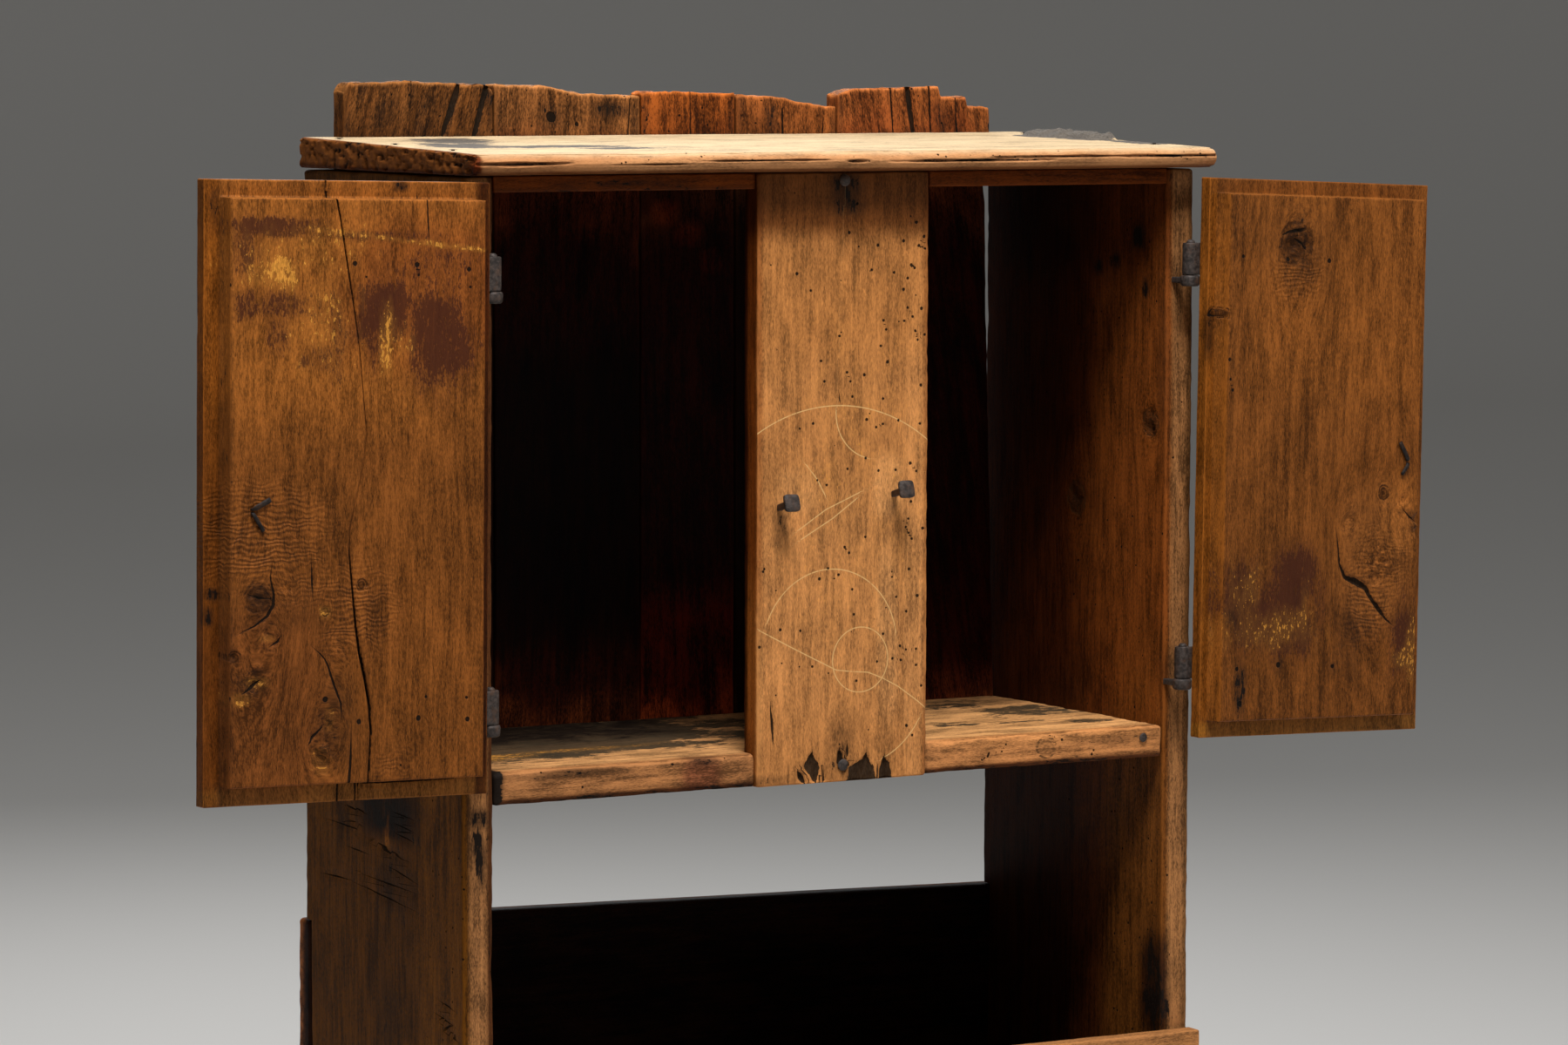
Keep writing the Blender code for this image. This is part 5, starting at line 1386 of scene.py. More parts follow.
class SIDEBOARD_OT_frame(PieceOperator, bpy.types.Operator):
    """Front rail, cupboard floor and the centre stile let into both"""

    bl_idname = "sideboard.frame"
    bl_label = "Front frame"

    def execute(self, context):
        low, high = (np.array(corner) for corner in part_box("top_rail"))
        shape, extra = front_notch(low, high)
        plank(
            "top_rail",
            low,
            high,
            (Y, Z, X),
            (0.004, 0.004, 0.003),
            timber("rail", pore=0.6),
            "rail_wood",
            21,
            wear=self.wear.arris * 0.7,
            wave=(0.0005, 0.0006, 0.0005),
            extra=extra,
            shape=shape,
            marks={"stain_and_shade": ((-0.25, FRONT_Y, 1.432, 0.06, 0.01, 0.003, 0.7), (-0.30, 0.0, 1.424, 0.3, 0.2, 0.004, 0.7))},
        )
        low, high = (np.array(corner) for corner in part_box("cupboard_shelf"))
        shape, extra = front_notch(low, high)
        top = high[Z]
        plank(
            "cupboard_shelf",
            low,
            high,
            (Y, Z, X),
            (0.0034, 0.0034, 0.0034),
            timber("shelf", dark=0.36, light=1.50, figure=0.34, pore=0.3, roughness=0.64, streaks=0.9, mottle=1.3, crust=(0.30, 0.27, 0.18), heart_weight=0.60, knot_fray=0.25),
            "shelf_wood",
            23,
            wear=self.wear.arris * 2.0,
            wave=(self.wear.wave * 0.4, self.wear.wave * 1.2, self.wear.wave * 1.2),
            extra=extra,
            shape=shape,
            edge_knots=((0.8585, 0.2442, 0.0115),),
            edge_holes=SHELF_HOLES,
            cracks=(
                (((-0.060, 0.15, 0.0), (-0.058, 0.24, 0.0008), (-0.055, 0.33, 0.0)), 1),
                (((0.02, -0.34, 0.0), (0.024, -0.25, 0.0008), (0.03, -0.15, 0.0)), 1),
                (((-0.115, 0.30, 0.0), (-0.117, 0.34, 0.0009), (-0.118, 0.37, 0.0)), 1),
            ),
            marks={
                "grey": (
                    (-0.240, 0.085, top, 0.220, 0.120, 0.02, 1.45),
                    (-0.300, -0.015, top, 0.085, 0.050, 0.02, 1.15),
                    (-0.200, 0.000, top, 0.130, 0.034, 0.02, 1.05),
                    (-0.340, -0.060, top, 0.040, 0.030, 0.02, 0.72),
                    (0.335, 0.035, top, 0.058, 0.044, 0.02, 0.78),
                    (0.290, 0.110, top, 0.075, 0.026, 0.02, 0.66),
                    (0.340, -0.070, top, 0.022, 0.016, 0.02, 0.78),
                    (0.198, -0.030, top, 0.030, 0.019, 0.02, 0.72),
                    (0.270, -0.045, top, 0.040, 0.008, 0.02, 0.66),
                ),
                "stain_and_shade": (
                    (-0.240, 0.120, top, 0.24, 0.080, 0.02, 0.95),
                    (-0.365, -0.095, top, 0.030, 0.030, 0.02, 0.45),
                    (0.250, 0.140, top, 0.20, 0.040, 0.02, 0.60),
                    (-0.385, FRONT_Y, 0.857, 0.0075, 0.03, 0.022, 1.6),
                    (-0.157, FRONT_Y, 0.871, 0.016, 0.022, 0.009, 0.72),
                    (-0.310, FRONT_Y, 0.868, 0.060, 0.012, 0.005, 0.72),
                    (0.330, FRONT_Y, 0.862, 0.060, 0.01, 0.004, 0.5),
                    # Painted shade: the underside darkened
                    (0.0, 0.05, 0.840, 0.6, 0.4, 0.006, 0.75),
                ),
                "flake": ((-0.335, -0.035, top, 0.050, 0.022, 0.02, 0.80), (-0.230, -0.020, top, 0.10, 0.010, 0.02, 0.66)),
                "worm": ((0.30, FRONT_Y, 0.857, 0.10, 0.03, 0.03, 0.12), (-0.2, FRONT_Y, 0.857, 0.2, 0.03, 0.03, 0.08)),
            },
            tints=(
                (0.0, FRONT_Y, 0.855, 0.60, 0.012, 0.030, 0.70, 0.60, 0.55),
                (0.25, FRONT_Y, 0.857, 0.16, 0.012, 0.030, 1.32, 1.30, 1.25),
                (-0.157, FRONT_Y, 0.856, 0.018, 0.012, 0.016, 0.72, 0.58, 0.66),
                (-0.240, -0.085, top, 0.17, 0.045, 0.012, 0.98, 1.00, 1.00),
                (0.25, -0.04, top, 0.15, 0.10, 0.012, 1.05, 1.08, 1.06),
                # Painted shade: the underside darkened
                (0.0, 0.03, 0.840, 0.60, 0.40, 0.005, 0.30, 0.22, 0.18),
            ),
            pith=(0.02, -0.06, 0.02),
        )
        arcs = [arc_path(*arc) for arc in STILE_ARCS]
        raised = [np.array(path) + (0, SHELF_BOTTOM) for path in (STILE_WAVE, *STILE_SCRATCHES)]
        front = STILE_LOW[Y]
        plank(
            "centre_stile",
            STILE_LOW,
            STILE_HIGH,
            (X, Y, Z),
            (0.0021, 0.0030, 0.0021),
            timber("stile", dark=0.46, light=1.52, figure=0.36, fleck_weight=1.2, pore=0.2, roughness=0.55, scuff=0.55, mottle=0.9, scribed=True),
            "stile_wood",
            27,
            wear=self.wear.arris * 0.9,
            wave=(self.wear.wave * 0.8, self.wear.wave * 0.4, self.wear.wave * 0.6),
            marks={
                "stain_and_shade": (
                    (-0.072, front, 1.096, 0.010, 0.02, 0.020, 0.60),
                    (0.056, front, 1.108, 0.008, 0.02, 0.012, 0.50),
                    (-0.085, front, 0.846, 0.030, 0.02, 0.006, 0.55),
                    (0.0, front, 0.875, 0.014, 0.02, 0.035, 0.50),
                    (0.005, front, 1.420, 0.020, 0.02, 0.024, 0.80),
                ),
                "flake": ((0.030, front, 1.12, 0.09, 0.02, 0.16, 0.30), (-0.03, front, 1.13, 0.04, 0.02, 0.03, 0.42)),
                "worm": ((0.02, front, 1.12, 0.10, 0.04, 0.34, 0.05),),
            },
            holes=[(x / 1000, SHELF_BOTTOM + z / 1000, 0.0013 + 0.0003 * (x % 3 == 0)) for x, z in STILE_HOLES],
            hole_face=-1,
            cracks=STILE_CHIPS,
            fields={
                "scribe_a": scribe_field(arcs[:3]),
                "scribe_b": scribe_field([arcs[3], *raised[:2]]),
                "scribe_c": scribe_field([*raised[2:], arcs[4]]),
            },
            tints=(
                # Painted shade: the side and rear faces darkened against the lit front
                (STILE_LOW[X], front + 0.016, 1.13, 0.006, 0.014, 0.60, 0.45, 0.26, 0.12),
                (STILE_HIGH[X], front + 0.016, 1.13, 0.006, 0.014, 0.60, 0.30, 0.17, 0.09),
                (0.0, STILE_HIGH[Y], 1.13, 0.30, 0.006, 0.60, 0.15, 0.12, 0.10),
                (0.0, front, 1.02, 0.10, 0.02, 0.10, 1.12, 1.15, 1.20),
                # Painted shadow of the top board's nose: the stile's upper part darker, darkest just under the top
                (0.0, front, 1.360, 0.20, 0.02, 0.09, 0.90, 0.87, 0.80),
                (0.0, front, 1.416, 0.20, 0.02, 0.032, 0.36, 0.29, 0.24),
                (STILE_LOW[X], front + 0.016, 0.92, 0.006, 0.014, 0.10, 1.5, 1.9, 2.2),
                (0.052, front, 1.132, 0.014, 0.02, 0.026, 1.30, 1.40, 1.55),
                (-0.052, front, 1.130, 0.022, 0.02, 0.018, 1.16, 1.22, 1.30),
                (0.052, front, 0.985, 0.010, 0.02, 0.070, 1.22, 1.30, 1.42),
                (0.086, front, 1.05, 0.012, 0.02, 0.24, 1.12, 1.15, 1.20),
            ),
            pith=(0.06, -0.20, 0.012),
        )
        return {"FINISHED"}


class SIDEBOARD_OT_back(PieceOperator, bpy.types.Operator):
    """Vertical back planks with hewn tops"""

    bl_idname = "sideboard.back"
    bl_label = "Back planks"

    def execute(self, context):
        finish = timber("back", dark=0.20, light=2.2, figure=0.30, fleck_weight=1.6, streaks=0.85, mottle=1.25, pore=0.7)
        gashes = {
            1: (
                (((-0.256, 1.530, 0.0010), (-0.260, 1.516, 0.0034), (-0.266, 1.500, 0.0037), (-0.273, 1.482, 0.0024),
                  (-0.278, 1.466, 0.0)), -1),
                (((-0.224, 1.530, 0.0026), (-0.229, 1.510, 0.0034), (-0.235, 1.488, 0.0031), (-0.241, 1.468, 0.0022),
                  (-0.244, 1.450, 0.0)), -1),
                (((-0.310, 1.530, 0.0004), (-0.313, 1.48, 0.0003), (-0.312, 1.44, 0.0)), -1),
                (((-0.345, 1.525, 0.0003), (-0.346, 1.49, 0.0003), (-0.345, 1.44, 0.0)), -1),
            ),
            2: (
                (((-0.060, 1.520, 0.0006), (-0.062, 1.49, 0.0006), (-0.062, 1.40, 0.0)), -1),
                (((-0.190, 1.520, 0.0003), (-0.193, 1.49, 0.0003), (-0.192, 1.42, 0.0)), -1),
            ),
            3: ((((0.010, 1.520, 0.0004), (0.011, 1.48, 0.0007), (0.012, 1.40, 0.0)), -1),),
            4: (
                (((0.120, 1.5, 0.0010), (0.121, 1.47, 0.0012), (0.122, 1.40, 0.0)), -1),
                (((0.170, 1.5, 0.0004), (0.169, 1.48, 0.0009), (0.168, 1.40, 0.0)), -1),
            ),
            5: (
                (((0.277, 1.520, 0.0030), (0.282, 1.490, 0.0032), (0.286, 1.465, 0.0016), (0.285, 1.40, 0.0)), -1),
                (((0.255, 1.53, 0.0008), (0.258, 1.49, 0.0010), (0.262, 1.44, 0.0)), -1),
                (((0.305, 1.53, 0.0008), (0.308, 1.49, 0.0012), (0.311, 1.44, 0.0)), -1),
                (((0.340, 1.53, 0.0005), (0.342, 1.49, 0.0010), (0.343, 1.44, 0.0)), -1),
            ),
        }
        bores = {2: ((-0.152, 1.4935, 0.0054), (-0.122, 1.4920, 0.0022))}
        scars = {
            1: ((-0.215, 1.517, 0.012, 0.010, 0.85), (-0.340, 1.500, 0.020, 0.022, 0.45), (-0.300, 1.490, 0.012, 0.03, 0.42)),
            2: ((-0.152, 1.4935, 0.013, 0.014, 0.50), (-0.080, 1.508, 0.024, 0.008, 0.72), (-0.050, 1.495, 0.012, 0.020, 0.5)),
            3: ((0.085, 1.495, 0.010, 0.022, 0.72),),
            4: ((0.105, 1.490, 0.010, 0.018, 0.70), (0.190, 1.475, 0.02, 0.010, 0.45)),
            5: ((0.320, 1.490, 0.010, 0.02, 0.60), (0.345, 1.475, 0.008, 0.014, 0.5)),
        }
        # Patches inside as (x, height, half width, half height, factors): the broad ones vary the painted shade inside,
        # lighter down towards the shelf; the small ones on plank 3 are a light knot scar
        inside = {
            2: (
                (-0.130, 1.360, 0.110, 0.085, 1.8, 1.1, 1.0),
                (-0.130, 0.900, 0.110, 0.050, 2.4, 1.6, 1.2),
                (-0.130, 1.120, 0.110, 0.140, 0.55, 0.5, 0.5),
            ),
            3: (
                (0.010, 0.920, 0.070, 0.070, 4.2, 2.4, 1.6),
                (0.010, 1.150, 0.080, 0.220, 1.6, 1.0, 1.0),
                (-0.020, 1.392, 0.013, 0.010, 2.8, 2.2, 1.8),
                (0.007, 1.370, 0.013, 0.010, 2.8, 2.2, 1.8),
                (0.036, 1.343, 0.011, 0.010, 2.8, 2.2, 1.8),
            ),
            5: ((0.280, 1.120, 0.120, 0.280, 1.9, 1.1, 1.0),),
        }
        for number, tops in enumerate(BACK_TOPS, 1):
            name = f"back_plank_{number}"
            low, high = (np.array(corner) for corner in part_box(name))
            shares = np.array([point[0] for point in tops])
            rises = np.array([point[1] for point in tops])
            last = number == len(BACK_TOPS)
            steps = [low[X] + share * (high[X] - low[X]) for share in (0.665, 0.845)] if last else ()

            def shape(rest, worn, low=low, high=high, shares=shares, rises=rises, last=last, number=number):
                """Heights scale to the hewn top, and the last plank stands away from the side."""
                across = (rest[:, X] - low[X]) / (high[X] - low[X])
                rough = layered_noise(rest * (1, 1, 0), 0.009, 80 + number) - 0.5
                top = TOP_SURFACE + np.interp(across, shares, rises) + 0.004 * rough - 0.001
                worn[:, Z] = low[Z] + (worn[:, Z] - low[Z]) * (top - low[Z]) / (high[Z] - low[Z])
                worn[:, X] -= np.interp(worn[:, Z], *BACK_GAP) * across * last
                crown = smoothstep(rest[:, Z], TOP_SURFACE - 0.01, TOP_SURFACE + 0.01) * (rest[:, Y] < low[Y] + 0.001)
                leaning = rest + np.outer(rest[:, Z], (CROWN_LEAN[number - 1], 0, 0))
                ridge = layered_noise(leaning * (1, 0, 0.12), 0.0085, 86 + number, 2) - 0.5
                worn[:, Y] += CROWN_RELIEF[number - 1] * ridge * crown
                return worn

            middle = (low[X] + high[X]) / 2
            width = high[X] - low[X]
            plank(
                name,
                low,
                high,
                (X, Y, Z),
                (0.0020, 0.0035, 0.0040),
                finish,
                "back_wood",
                30 + number,
                wear=self.wear.arris * 0.8,
                wave=(0.0004, self.wear.wave, 0.0),
                extra={X: steps},
                shape=shape,
                cracks=gashes[number],
                holes=bores.get(number, ()),
                hole_face=-1,
                tints=(
                    # Painted shade: the inner faces darkened nearly to black
                    (middle, low[Y], 1.14, width, 0.012, 0.30, 0.040, 0.022, 0.018),
                    (middle, low[Y], 1.50, width, 0.060, 0.05, *CROWN_TINTS[number - 1]),
                    # Lighter tops: pale cut wood, and a painted highlight where light falls on them
                    (middle, (low + high)[Y] / 2, high[Z], width, 0.016, 0.0030, 1.7, 1.8, 2.0),
                    *((x, low[Y], z, wide, 0.012, tall, *tone) for x, z, wide, tall, *tone in inside.get(number, ())),
                ),
                marks={
                    "stain_and_shade": (
                        (low[X], low[Y], 1.50, 0.008, 0.02, 0.05, 0.5),
                        (high[X], low[Y], 1.49, 0.006, 0.02, 0.06, 0.5),
                        (middle, low[Y], 1.470, width, 0.02, 0.008, 0.4),
                        *((x, low[Y], z, wide, 0.02, tall, depth) for x, z, wide, tall, depth in scars[number]),
                    ),
                    "worm": ((middle, low[Y], 1.5, width, 0.02, 0.06, 0.12),),
                },
                pith=(0.03, -0.07, 0.03),
                lean=CROWN_LEAN[number - 1],
            )
        return {"FINISHED"}


def sloping_top(low, high, left, right):
    """Scales heights so that the top edge runs from one height to another."""

    def shape(rest, worn):
        across = (rest[:, X] - low[X]) / (high[X] - low[X])
        top = left + across * (right - left)
        worn[:, Z] = low[Z] + (worn[:, Z] - low[Z]) * (top - low[Z]) / (high[Z] - low[Z])
        return worn

    return shape


class SIDEBOARD_OT_bin(PieceOperator, bpy.types.Operator):
    """Planks round the bin, its floor boards and cleats"""

    bl_idname = "sideboard.bin"
    bl_label = "Bin"

    def execute(self, context):
        back = timber("back", dark=0.20, light=2.2, figure=0.30, fleck_weight=1.6, streaks=0.85, mottle=1.25, pore=0.7)
        front = timber("front", dark=0.42, light=1.45, figure=0.35, pore=0.6)
        inner = timber("bin", dark=0.45, light=1.4, figure=0.35, pore=0.6)
        low, high = (np.array(corner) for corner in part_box("lower_back_upper"))
        slopes = {"lower_back_upper": sloping_top(low, high, high[Z], high[Z] - 0.024)}
        # Painted shade with the wood's own dark tone: the lower back's inner face tinted nearly black
        dark_wood_and_shade = ((0.0, low[Y], 0.45, 0.8, 0.014, 0.60, 0.05, 0.04, 0.04),)
        grime_and_shade = {
            "stain_and_shade": (
                (-0.2, FRONT_Y - 0.022, 0.36, 0.2, 0.02, 0.03, 0.4),
                (0.1, FRONT_Y - 0.022, 0.20, 0.3, 0.02, 0.04, 0.4),
                (0.415, FRONT_Y - 0.022, 0.530, 0.030, 0.02, 0.010, 0.70),
                (0.300, FRONT_Y - 0.022, 0.535, 0.060, 0.02, 0.006, 0.7),
                # Painted shade: the front planks' inner face darkened inside the bin
                (0.0, FRONT_Y, 0.3, 0.8, 0.006, 0.4, 0.8),
            ),
            "worm": ((0.1, FRONT_Y - 0.022, 0.4, 0.5, 0.03, 0.1, 0.10),),
        }
        boards = (
            ("lower_back_lower", (X, Y, Z), back, "back_wood", {}),
            ("lower_back_upper", (X, Y, Z), back, "back_wood", {}),
            ("front_plank_lower", (X, Y, Z), front, "front_wood", grime_and_shade),
            ("front_plank_upper", (X, Y, Z), front, "front_wood", grime_and_shade),
            ("bin_floor_1", (Y, Z, X), inner, "bin_wood", {}),
            ("bin_floor_2", (Y, Z, X), inner, "bin_wood", {}),
            ("floor_cleat_left", (X, Z, Y), inner, "bin_wood", {}),
            ("floor_cleat_right", (X, Z, Y), inner, "bin_wood", {}),
        )
        for number, (name, order, finish, slot, marks) in enumerate(boards):
            low, high = (np.array(corner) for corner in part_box(name))
            if order[2] == Z:
                order = (Z, Y, X)
            more = {"shape": slopes[name]} if name in slopes else {}
            plank(
                name,
                low,
                high,
                order,
                (0.0045, 0.0045, 0.0045),
                finish,
                slot,
                45 + number,
                wear=self.wear.arris * (2.6 if name == "lower_back_upper" else 1.1),
                wave=(0.0004, self.wear.wave * 0.9, self.wear.wave * 0.5),
                marks=marks,
                tints=dark_wood_and_shade if finish is back else (),
                knots=((0.47, -0.22, 0.018),) if name == "front_plank_upper" else (),
                **more,
            )
        return {"FINISHED"}


def door_frame(name):
    """Origin and axes of a door at rest: along the board away from the hinge, inwards, and up the pintles."""
    hinge = JOINTS[f"door_{name}_hinge"]
    ring = JOINTS[f"ring_{name}_swing"]
    up = np.array(hinge["axis"]) / np.linalg.norm(hinge["axis"])
    right = np.array(ring["axis"]) / np.linalg.norm(ring["axis"])
    return np.array(hinge["pos_m"]), right * DOORS[name]["sign"], -np.cross(up, right), up


def door_place(name):
    """Turns points (u, n, v) of a door's own frame, out of square by its slope, into the row frame."""
    origin, along, inwards, up = door_frame(name)
    axes = np.stack([along, inwards, up])
    flipped = np.linalg.det(axes) < 0

    def place(points, quads, slope=0.0):
        points = points.copy()
        points[:, 2] += slope * points[:, 0]
        return origin + points @ axes, quads[:, ::-1] if flipped else quads

    return place


class SIDEBOARD_OT_doors(PieceOperator, bpy.types.Operator):
    """Two doors, each one board rebated to a lip on all four edges"""

    bl_idname = "sideboard.doors"
    bl_label = "Doors"

    def execute(self, context):
        finish = timber("door", dark=0.34, light=1.75, figure=0.40, fleck_weight=1.25, pore=0.35, roughness=0.48, streaks=0.50, mottle=0.85, heart_weight=1.35, knot_fray=0.45)
        for number, (name, door) in enumerate(DOORS.items()):
            low = np.array([door["span"][0], OUTER_FACE, door["rise"][0]])
            high = np.array([door["span"][1], FIELD_FACE, door["rise"][1]])
            lips = door["lips"]
            field_low = np.array([low[0] + lips["hinge"], low[2] + lips["bottom"]])
            field_high = np.array([high[0] - lips["free"], high[2] - lips["top"]])

            def shape(rest, worn, low=low, field_low=field_low, field_high=field_high, number=number):
                """Outside the raised field the board thins to its lip, and the field's arris is rounded."""
                depth = np.minimum(
                    np.minimum(rest[:, 0] - field_low[0], field_high[0] - rest[:, 0]),
                    np.minimum(rest[:, 2] - field_low[1], field_high[1] - rest[:, 2]),
                )
                thin = (LIP_FACE - OUTER_FACE) / (FIELD_FACE - OUTER_FACE)
                worn[:, 1] = np.where(depth > 0, worn[:, 1], low[1] + (worn[:, 1] - low[1]) * thin)
                radius = 0.0018 * (0.5 + layered_noise(rest, 0.02, 90 + number))
                short = np.clip(radius - depth, 0, radius)
                drop = radius - np.sqrt(np.maximum(radius**2 - short**2, 0))
                worn[:, 1] -= drop * ((depth > 0) & (rest[:, 1] > FIELD_FACE - 1e-6))
                return worn

            def rub(rest, field_low=field_low, field_high=field_high):
                """1 on the field's own arris, fading to 0 at 3 mm inside it: paled as wear, and as a painted highlight
                along the lit arris.
                """
                depth = np.minimum(
                    np.minimum(rest[:, 0] - field_low[0], field_high[0] - rest[:, 0]),
                    np.minimum(rest[:, 2] - field_low[1], field_high[1] - rest[:, 2]),
                )
                return np.clip(1 - depth / 0.003, 0, 1) * (depth > 0) * (rest[:, 1] > FIELD_FACE - 1e-6)

            place = door_place(name)
            edge = np.array([0.0006, 0.0012, 0.0020])
            plank(
                "door_" + name,
                low,
                high,
                (0, 1, 2),
                (0.00228, 0.0060, 0.00228),
                finish,
                "door_wood",
                60 + number,
                wear=self.wear.arris * 0.75,
                wave=(0.0006, 0.0009, 0.0006),
                extra={0: (field_low[0], field_high[0]), 2: (field_low[1], field_high[1])},
                fine={0: np.concatenate([field_low[0] + edge, field_high[0] - edge]), 2: np.concatenate([field_low[1] + edge, field_high[1] - edge])},
                shape=shape,
                knots=DOOR_KNOTS[name],
                split=DOOR_SPLITS[name],
                cracks=DOOR_CRACKS[name],
                holes=DOOR_HOLES[name],
                marks=DOOR_MARKS[name],
                tints=DOOR_TINTS[name],
                curl=DOOR_CURL[name],
                rub=rub,
                reach=0.0035,
                pith=(0.05, -0.10, 0.05),
                place=lambda points, quads, place=place, slope=door["slope"]: place(points, quads, slope),
                body=name + "_door",
            )
        return {"FINISHED"}


STRAP_THICK = 0.0035
STRAP_LENGTH = 0.188
STRAP_NECK = 0.022
STRAP_TIP = 0.017
EYE_HEIGHT = 0.0325
EYE_TURN = radians(280)
EYE_MIDDLE = 0.0044 + 0.0003 + STRAP_THICK / 2
PINTLE_RADIUS = 0.0044
COLLAR_RADIUS = 0.0098
COLLAR_HEIGHT = 0.0115


def strap_skin(level, seed):
    """Strap with a rolled eye: a rounded oblong carried from the tip to the axis and round the pin.

    The path is straight at the eye's middle radius, then a turn of 280 degrees; the half height is full at
    the eye and falls evenly to the tip, which is rounded."""
    tip = STRAP_TIP / 2
    straight = np.concatenate([STRAP_LENGTH - tip * (1 - np.cos(np.linspace(0.25, np.pi / 2, 8))), np.linspace(STRAP_LENGTH - tip * 1.3, 0.002, 60)])
    angles = np.pi / 2 + EYE_TURN * np.linspace(0, 1, 44)
    u = np.concatenate([straight, EYE_MIDDLE * np.cos(angles)])
    n = np.concatenate([np.full(len(straight), EYE_MIDDLE), EYE_MIDDLE * np.sin(angles)])
    share = np.clip((u - STRAP_NECK) / (STRAP_LENGTH - STRAP_NECK), 0, 1)
    half = (EYE_HEIGHT + share * (STRAP_TIP - EYE_HEIGHT)) / 2
    rounding = np.clip((STRAP_LENGTH - straight) / tip, 0, 1)
    half[: len(straight)] *= np.sqrt(np.maximum(1 - (1 - rounding) ** 2, 0.05))
    half[len(straight) :] = EYE_HEIGHT / 2
    step = np.gradient(np.stack([u, n], 1), axis=0)
    step /= np.linalg.norm(step, axis=1, keepdims=True)
    side = np.stack([-step[:, 1], step[:, 0]], 1)
    corner = np.linspace(0, 2 * np.pi, 24, endpoint=False) + np.pi / 24
    flat = np.sign(np.cos(corner)) * np.abs(np.cos(corner)) ** 0.35
    tall = np.sign(np.sin(corner)) * np.abs(np.sin(corner)) ** 0.22
    out = flat * STRAP_THICK / 2
    loops = np.zeros((len(u), len(corner), 3))
    loops[:, :, 0] = u[:, None] + side[:, 0, None] * out
    loops[:, :, 1] = n[:, None] + side[:, 1, None] * out
    loops[:, :, 2] = level + half[:, None] * tall
    points, quads = carried(loops)
    dent = layered_noise(points, 0.012, seed) - 0.5
    points[:, 2] += 0.0012 * dent
    return points, quads


def pintle_skins(level, seed):
    """Pin and collar turned about the axis, and the square spike that enters the side's edge."""
    low = level - EYE_HEIGHT / 2
    foot = low - COLLAR_HEIGHT
    top = low + EYE_HEIGHT + 0.003
    profile = [(0.0006, foot), (COLLAR_RADIUS * 0.80, foot), (COLLAR_RADIUS * 0.95, foot + 0.0012)]
    profile += [(COLLAR_RADIUS, foot + 0.003), (COLLAR_RADIUS, low - 0.003), (COLLAR_RADIUS * 0.96, low - 0.0012)]
    profile += [(COLLAR_RADIUS * 0.86, low - 0.0004), (PINTLE_RADIUS, low - 0.0003), (PINTLE_RADIUS, low + 0.01)]
    profile += [(PINTLE_RADIUS, top - 0.003), (PINTLE_RADIUS * 0.92, top - 0.0015), (PINTLE_RADIUS * 0.6, top), (0.0006, top + 0.0002)]
    body = turned(profile, 32, (0, 0, 0), (0, 0, 1), seed, 0.03)
    reach = np.linspace(-0.004, 1.0, 14)
    length = 0.0272 + 0.045
    half = 0.0036 + reach * (0.0015 - 0.0036)
    corner = np.linspace(0, 2 * np.pi, 16, endpoint=False) + np.pi / 4
    square = np.stack([np.cos(corner), np.sin(corner)], 1) / np.abs(np.stack([np.cos(corner), np.sin(corner)])).max(0)[:, None]
    loops = np.zeros((len(reach), len(corner), 3))
    loops[:, :, 0] = -half[:, None] * square[:, 0]
    loops[:, :, 1] = (reach * length)[:, None]
    loops[:, :, 2] = (foot + low) / 2 + half[:, None] * square[:, 1]
    return joined([body, carried(loops)])


class SIDEBOARD_OT_hinges(PieceOperator, bpy.types.Operator):
    """Strap hinges with rolled eyes, and the pintles they turn on"""

    bl_idname = "sideboard.hinges"
    bl_label = "Hinges"

    def execute(self, context):
        finish = forged()
        for side, name in enumerate(DOORS):
            place = door_place(name)
            hinge = JOINTS[f"door_{name}_hinge"]
            up = np.array(hinge["axis"]) / np.linalg.norm(hinge["axis"])
            right = np.cross((0.0, 1.0, 0.0), up)
            axes = np.stack([right, (0.0, 1.0, 0.0), up])
            for order, (level_name, level) in enumerate(EYE_LEVELS.items()):
                seed = 100 + 4 * side + order
                label = f"hinge_strap_{name}_{level_name}"
                points, quads = place(*strap_skin(level, seed))
                add_piece(label, points, quads, finish, name + "_door", (label,), "wrought_iron")
                label = f"pintle_{name}_{level_name}"
                points, quads = pintle_skins(level, seed + 20)
                add_piece(
                    label, np.array(hinge["pos_m"]) + points @ axes, quads, finish, "carcass", (label,), "wrought_iron"
                )
        return {"FINISHED"}


def wire_skin(path, wide, thick, closed=False, steps=16):
    """An oval wire carried along a path: across it lies the direction that leaves the path's plane least."""
    path = np.asarray(path, float)
    ahead = np.roll(path, -1, 0) - np.roll(path, 1, 0) if closed else np.gradient(path, axis=0)
    ahead /= np.linalg.norm(ahead, axis=1, keepdims=True)
    across = np.cross(ahead, (1.0, 0.0, 0.0))
    weak = np.linalg.norm(across, axis=1) < 0.2
    across[weak] = np.cross(ahead[weak], (0.0, 0.0, 1.0))
    across /= np.linalg.norm(across, axis=1, keepdims=True)
    other = np.cross(ahead, across)
    angles = np.linspace(0, 2 * np.pi, steps, endpoint=False)
    wide, thick = (np.broadcast_to(size, len(path))[:, None, None] for size in (wide, thick))
    loops = path[:, None] + wide * np.cos(angles)[:, None] * across[:, None]
    loops += thick * np.sin(angles)[:, None] * other[:, None]
    return carried(loops, closed)


PIN_LEGS = {
    "left": ((-0.0180, 0.0085), (-0.0110, -0.0165)),
    "right": ((-0.0120, 0.0190), (-0.0085, -0.0110)),
}
PIN_HEIGHT = -0.0064
PIN_INSET = 0.040
EYE_BORE = 0.0042
RING_RADIUS, RING_WIRE, PIN_WIRE = 0.019, 0.0022, 0.0014


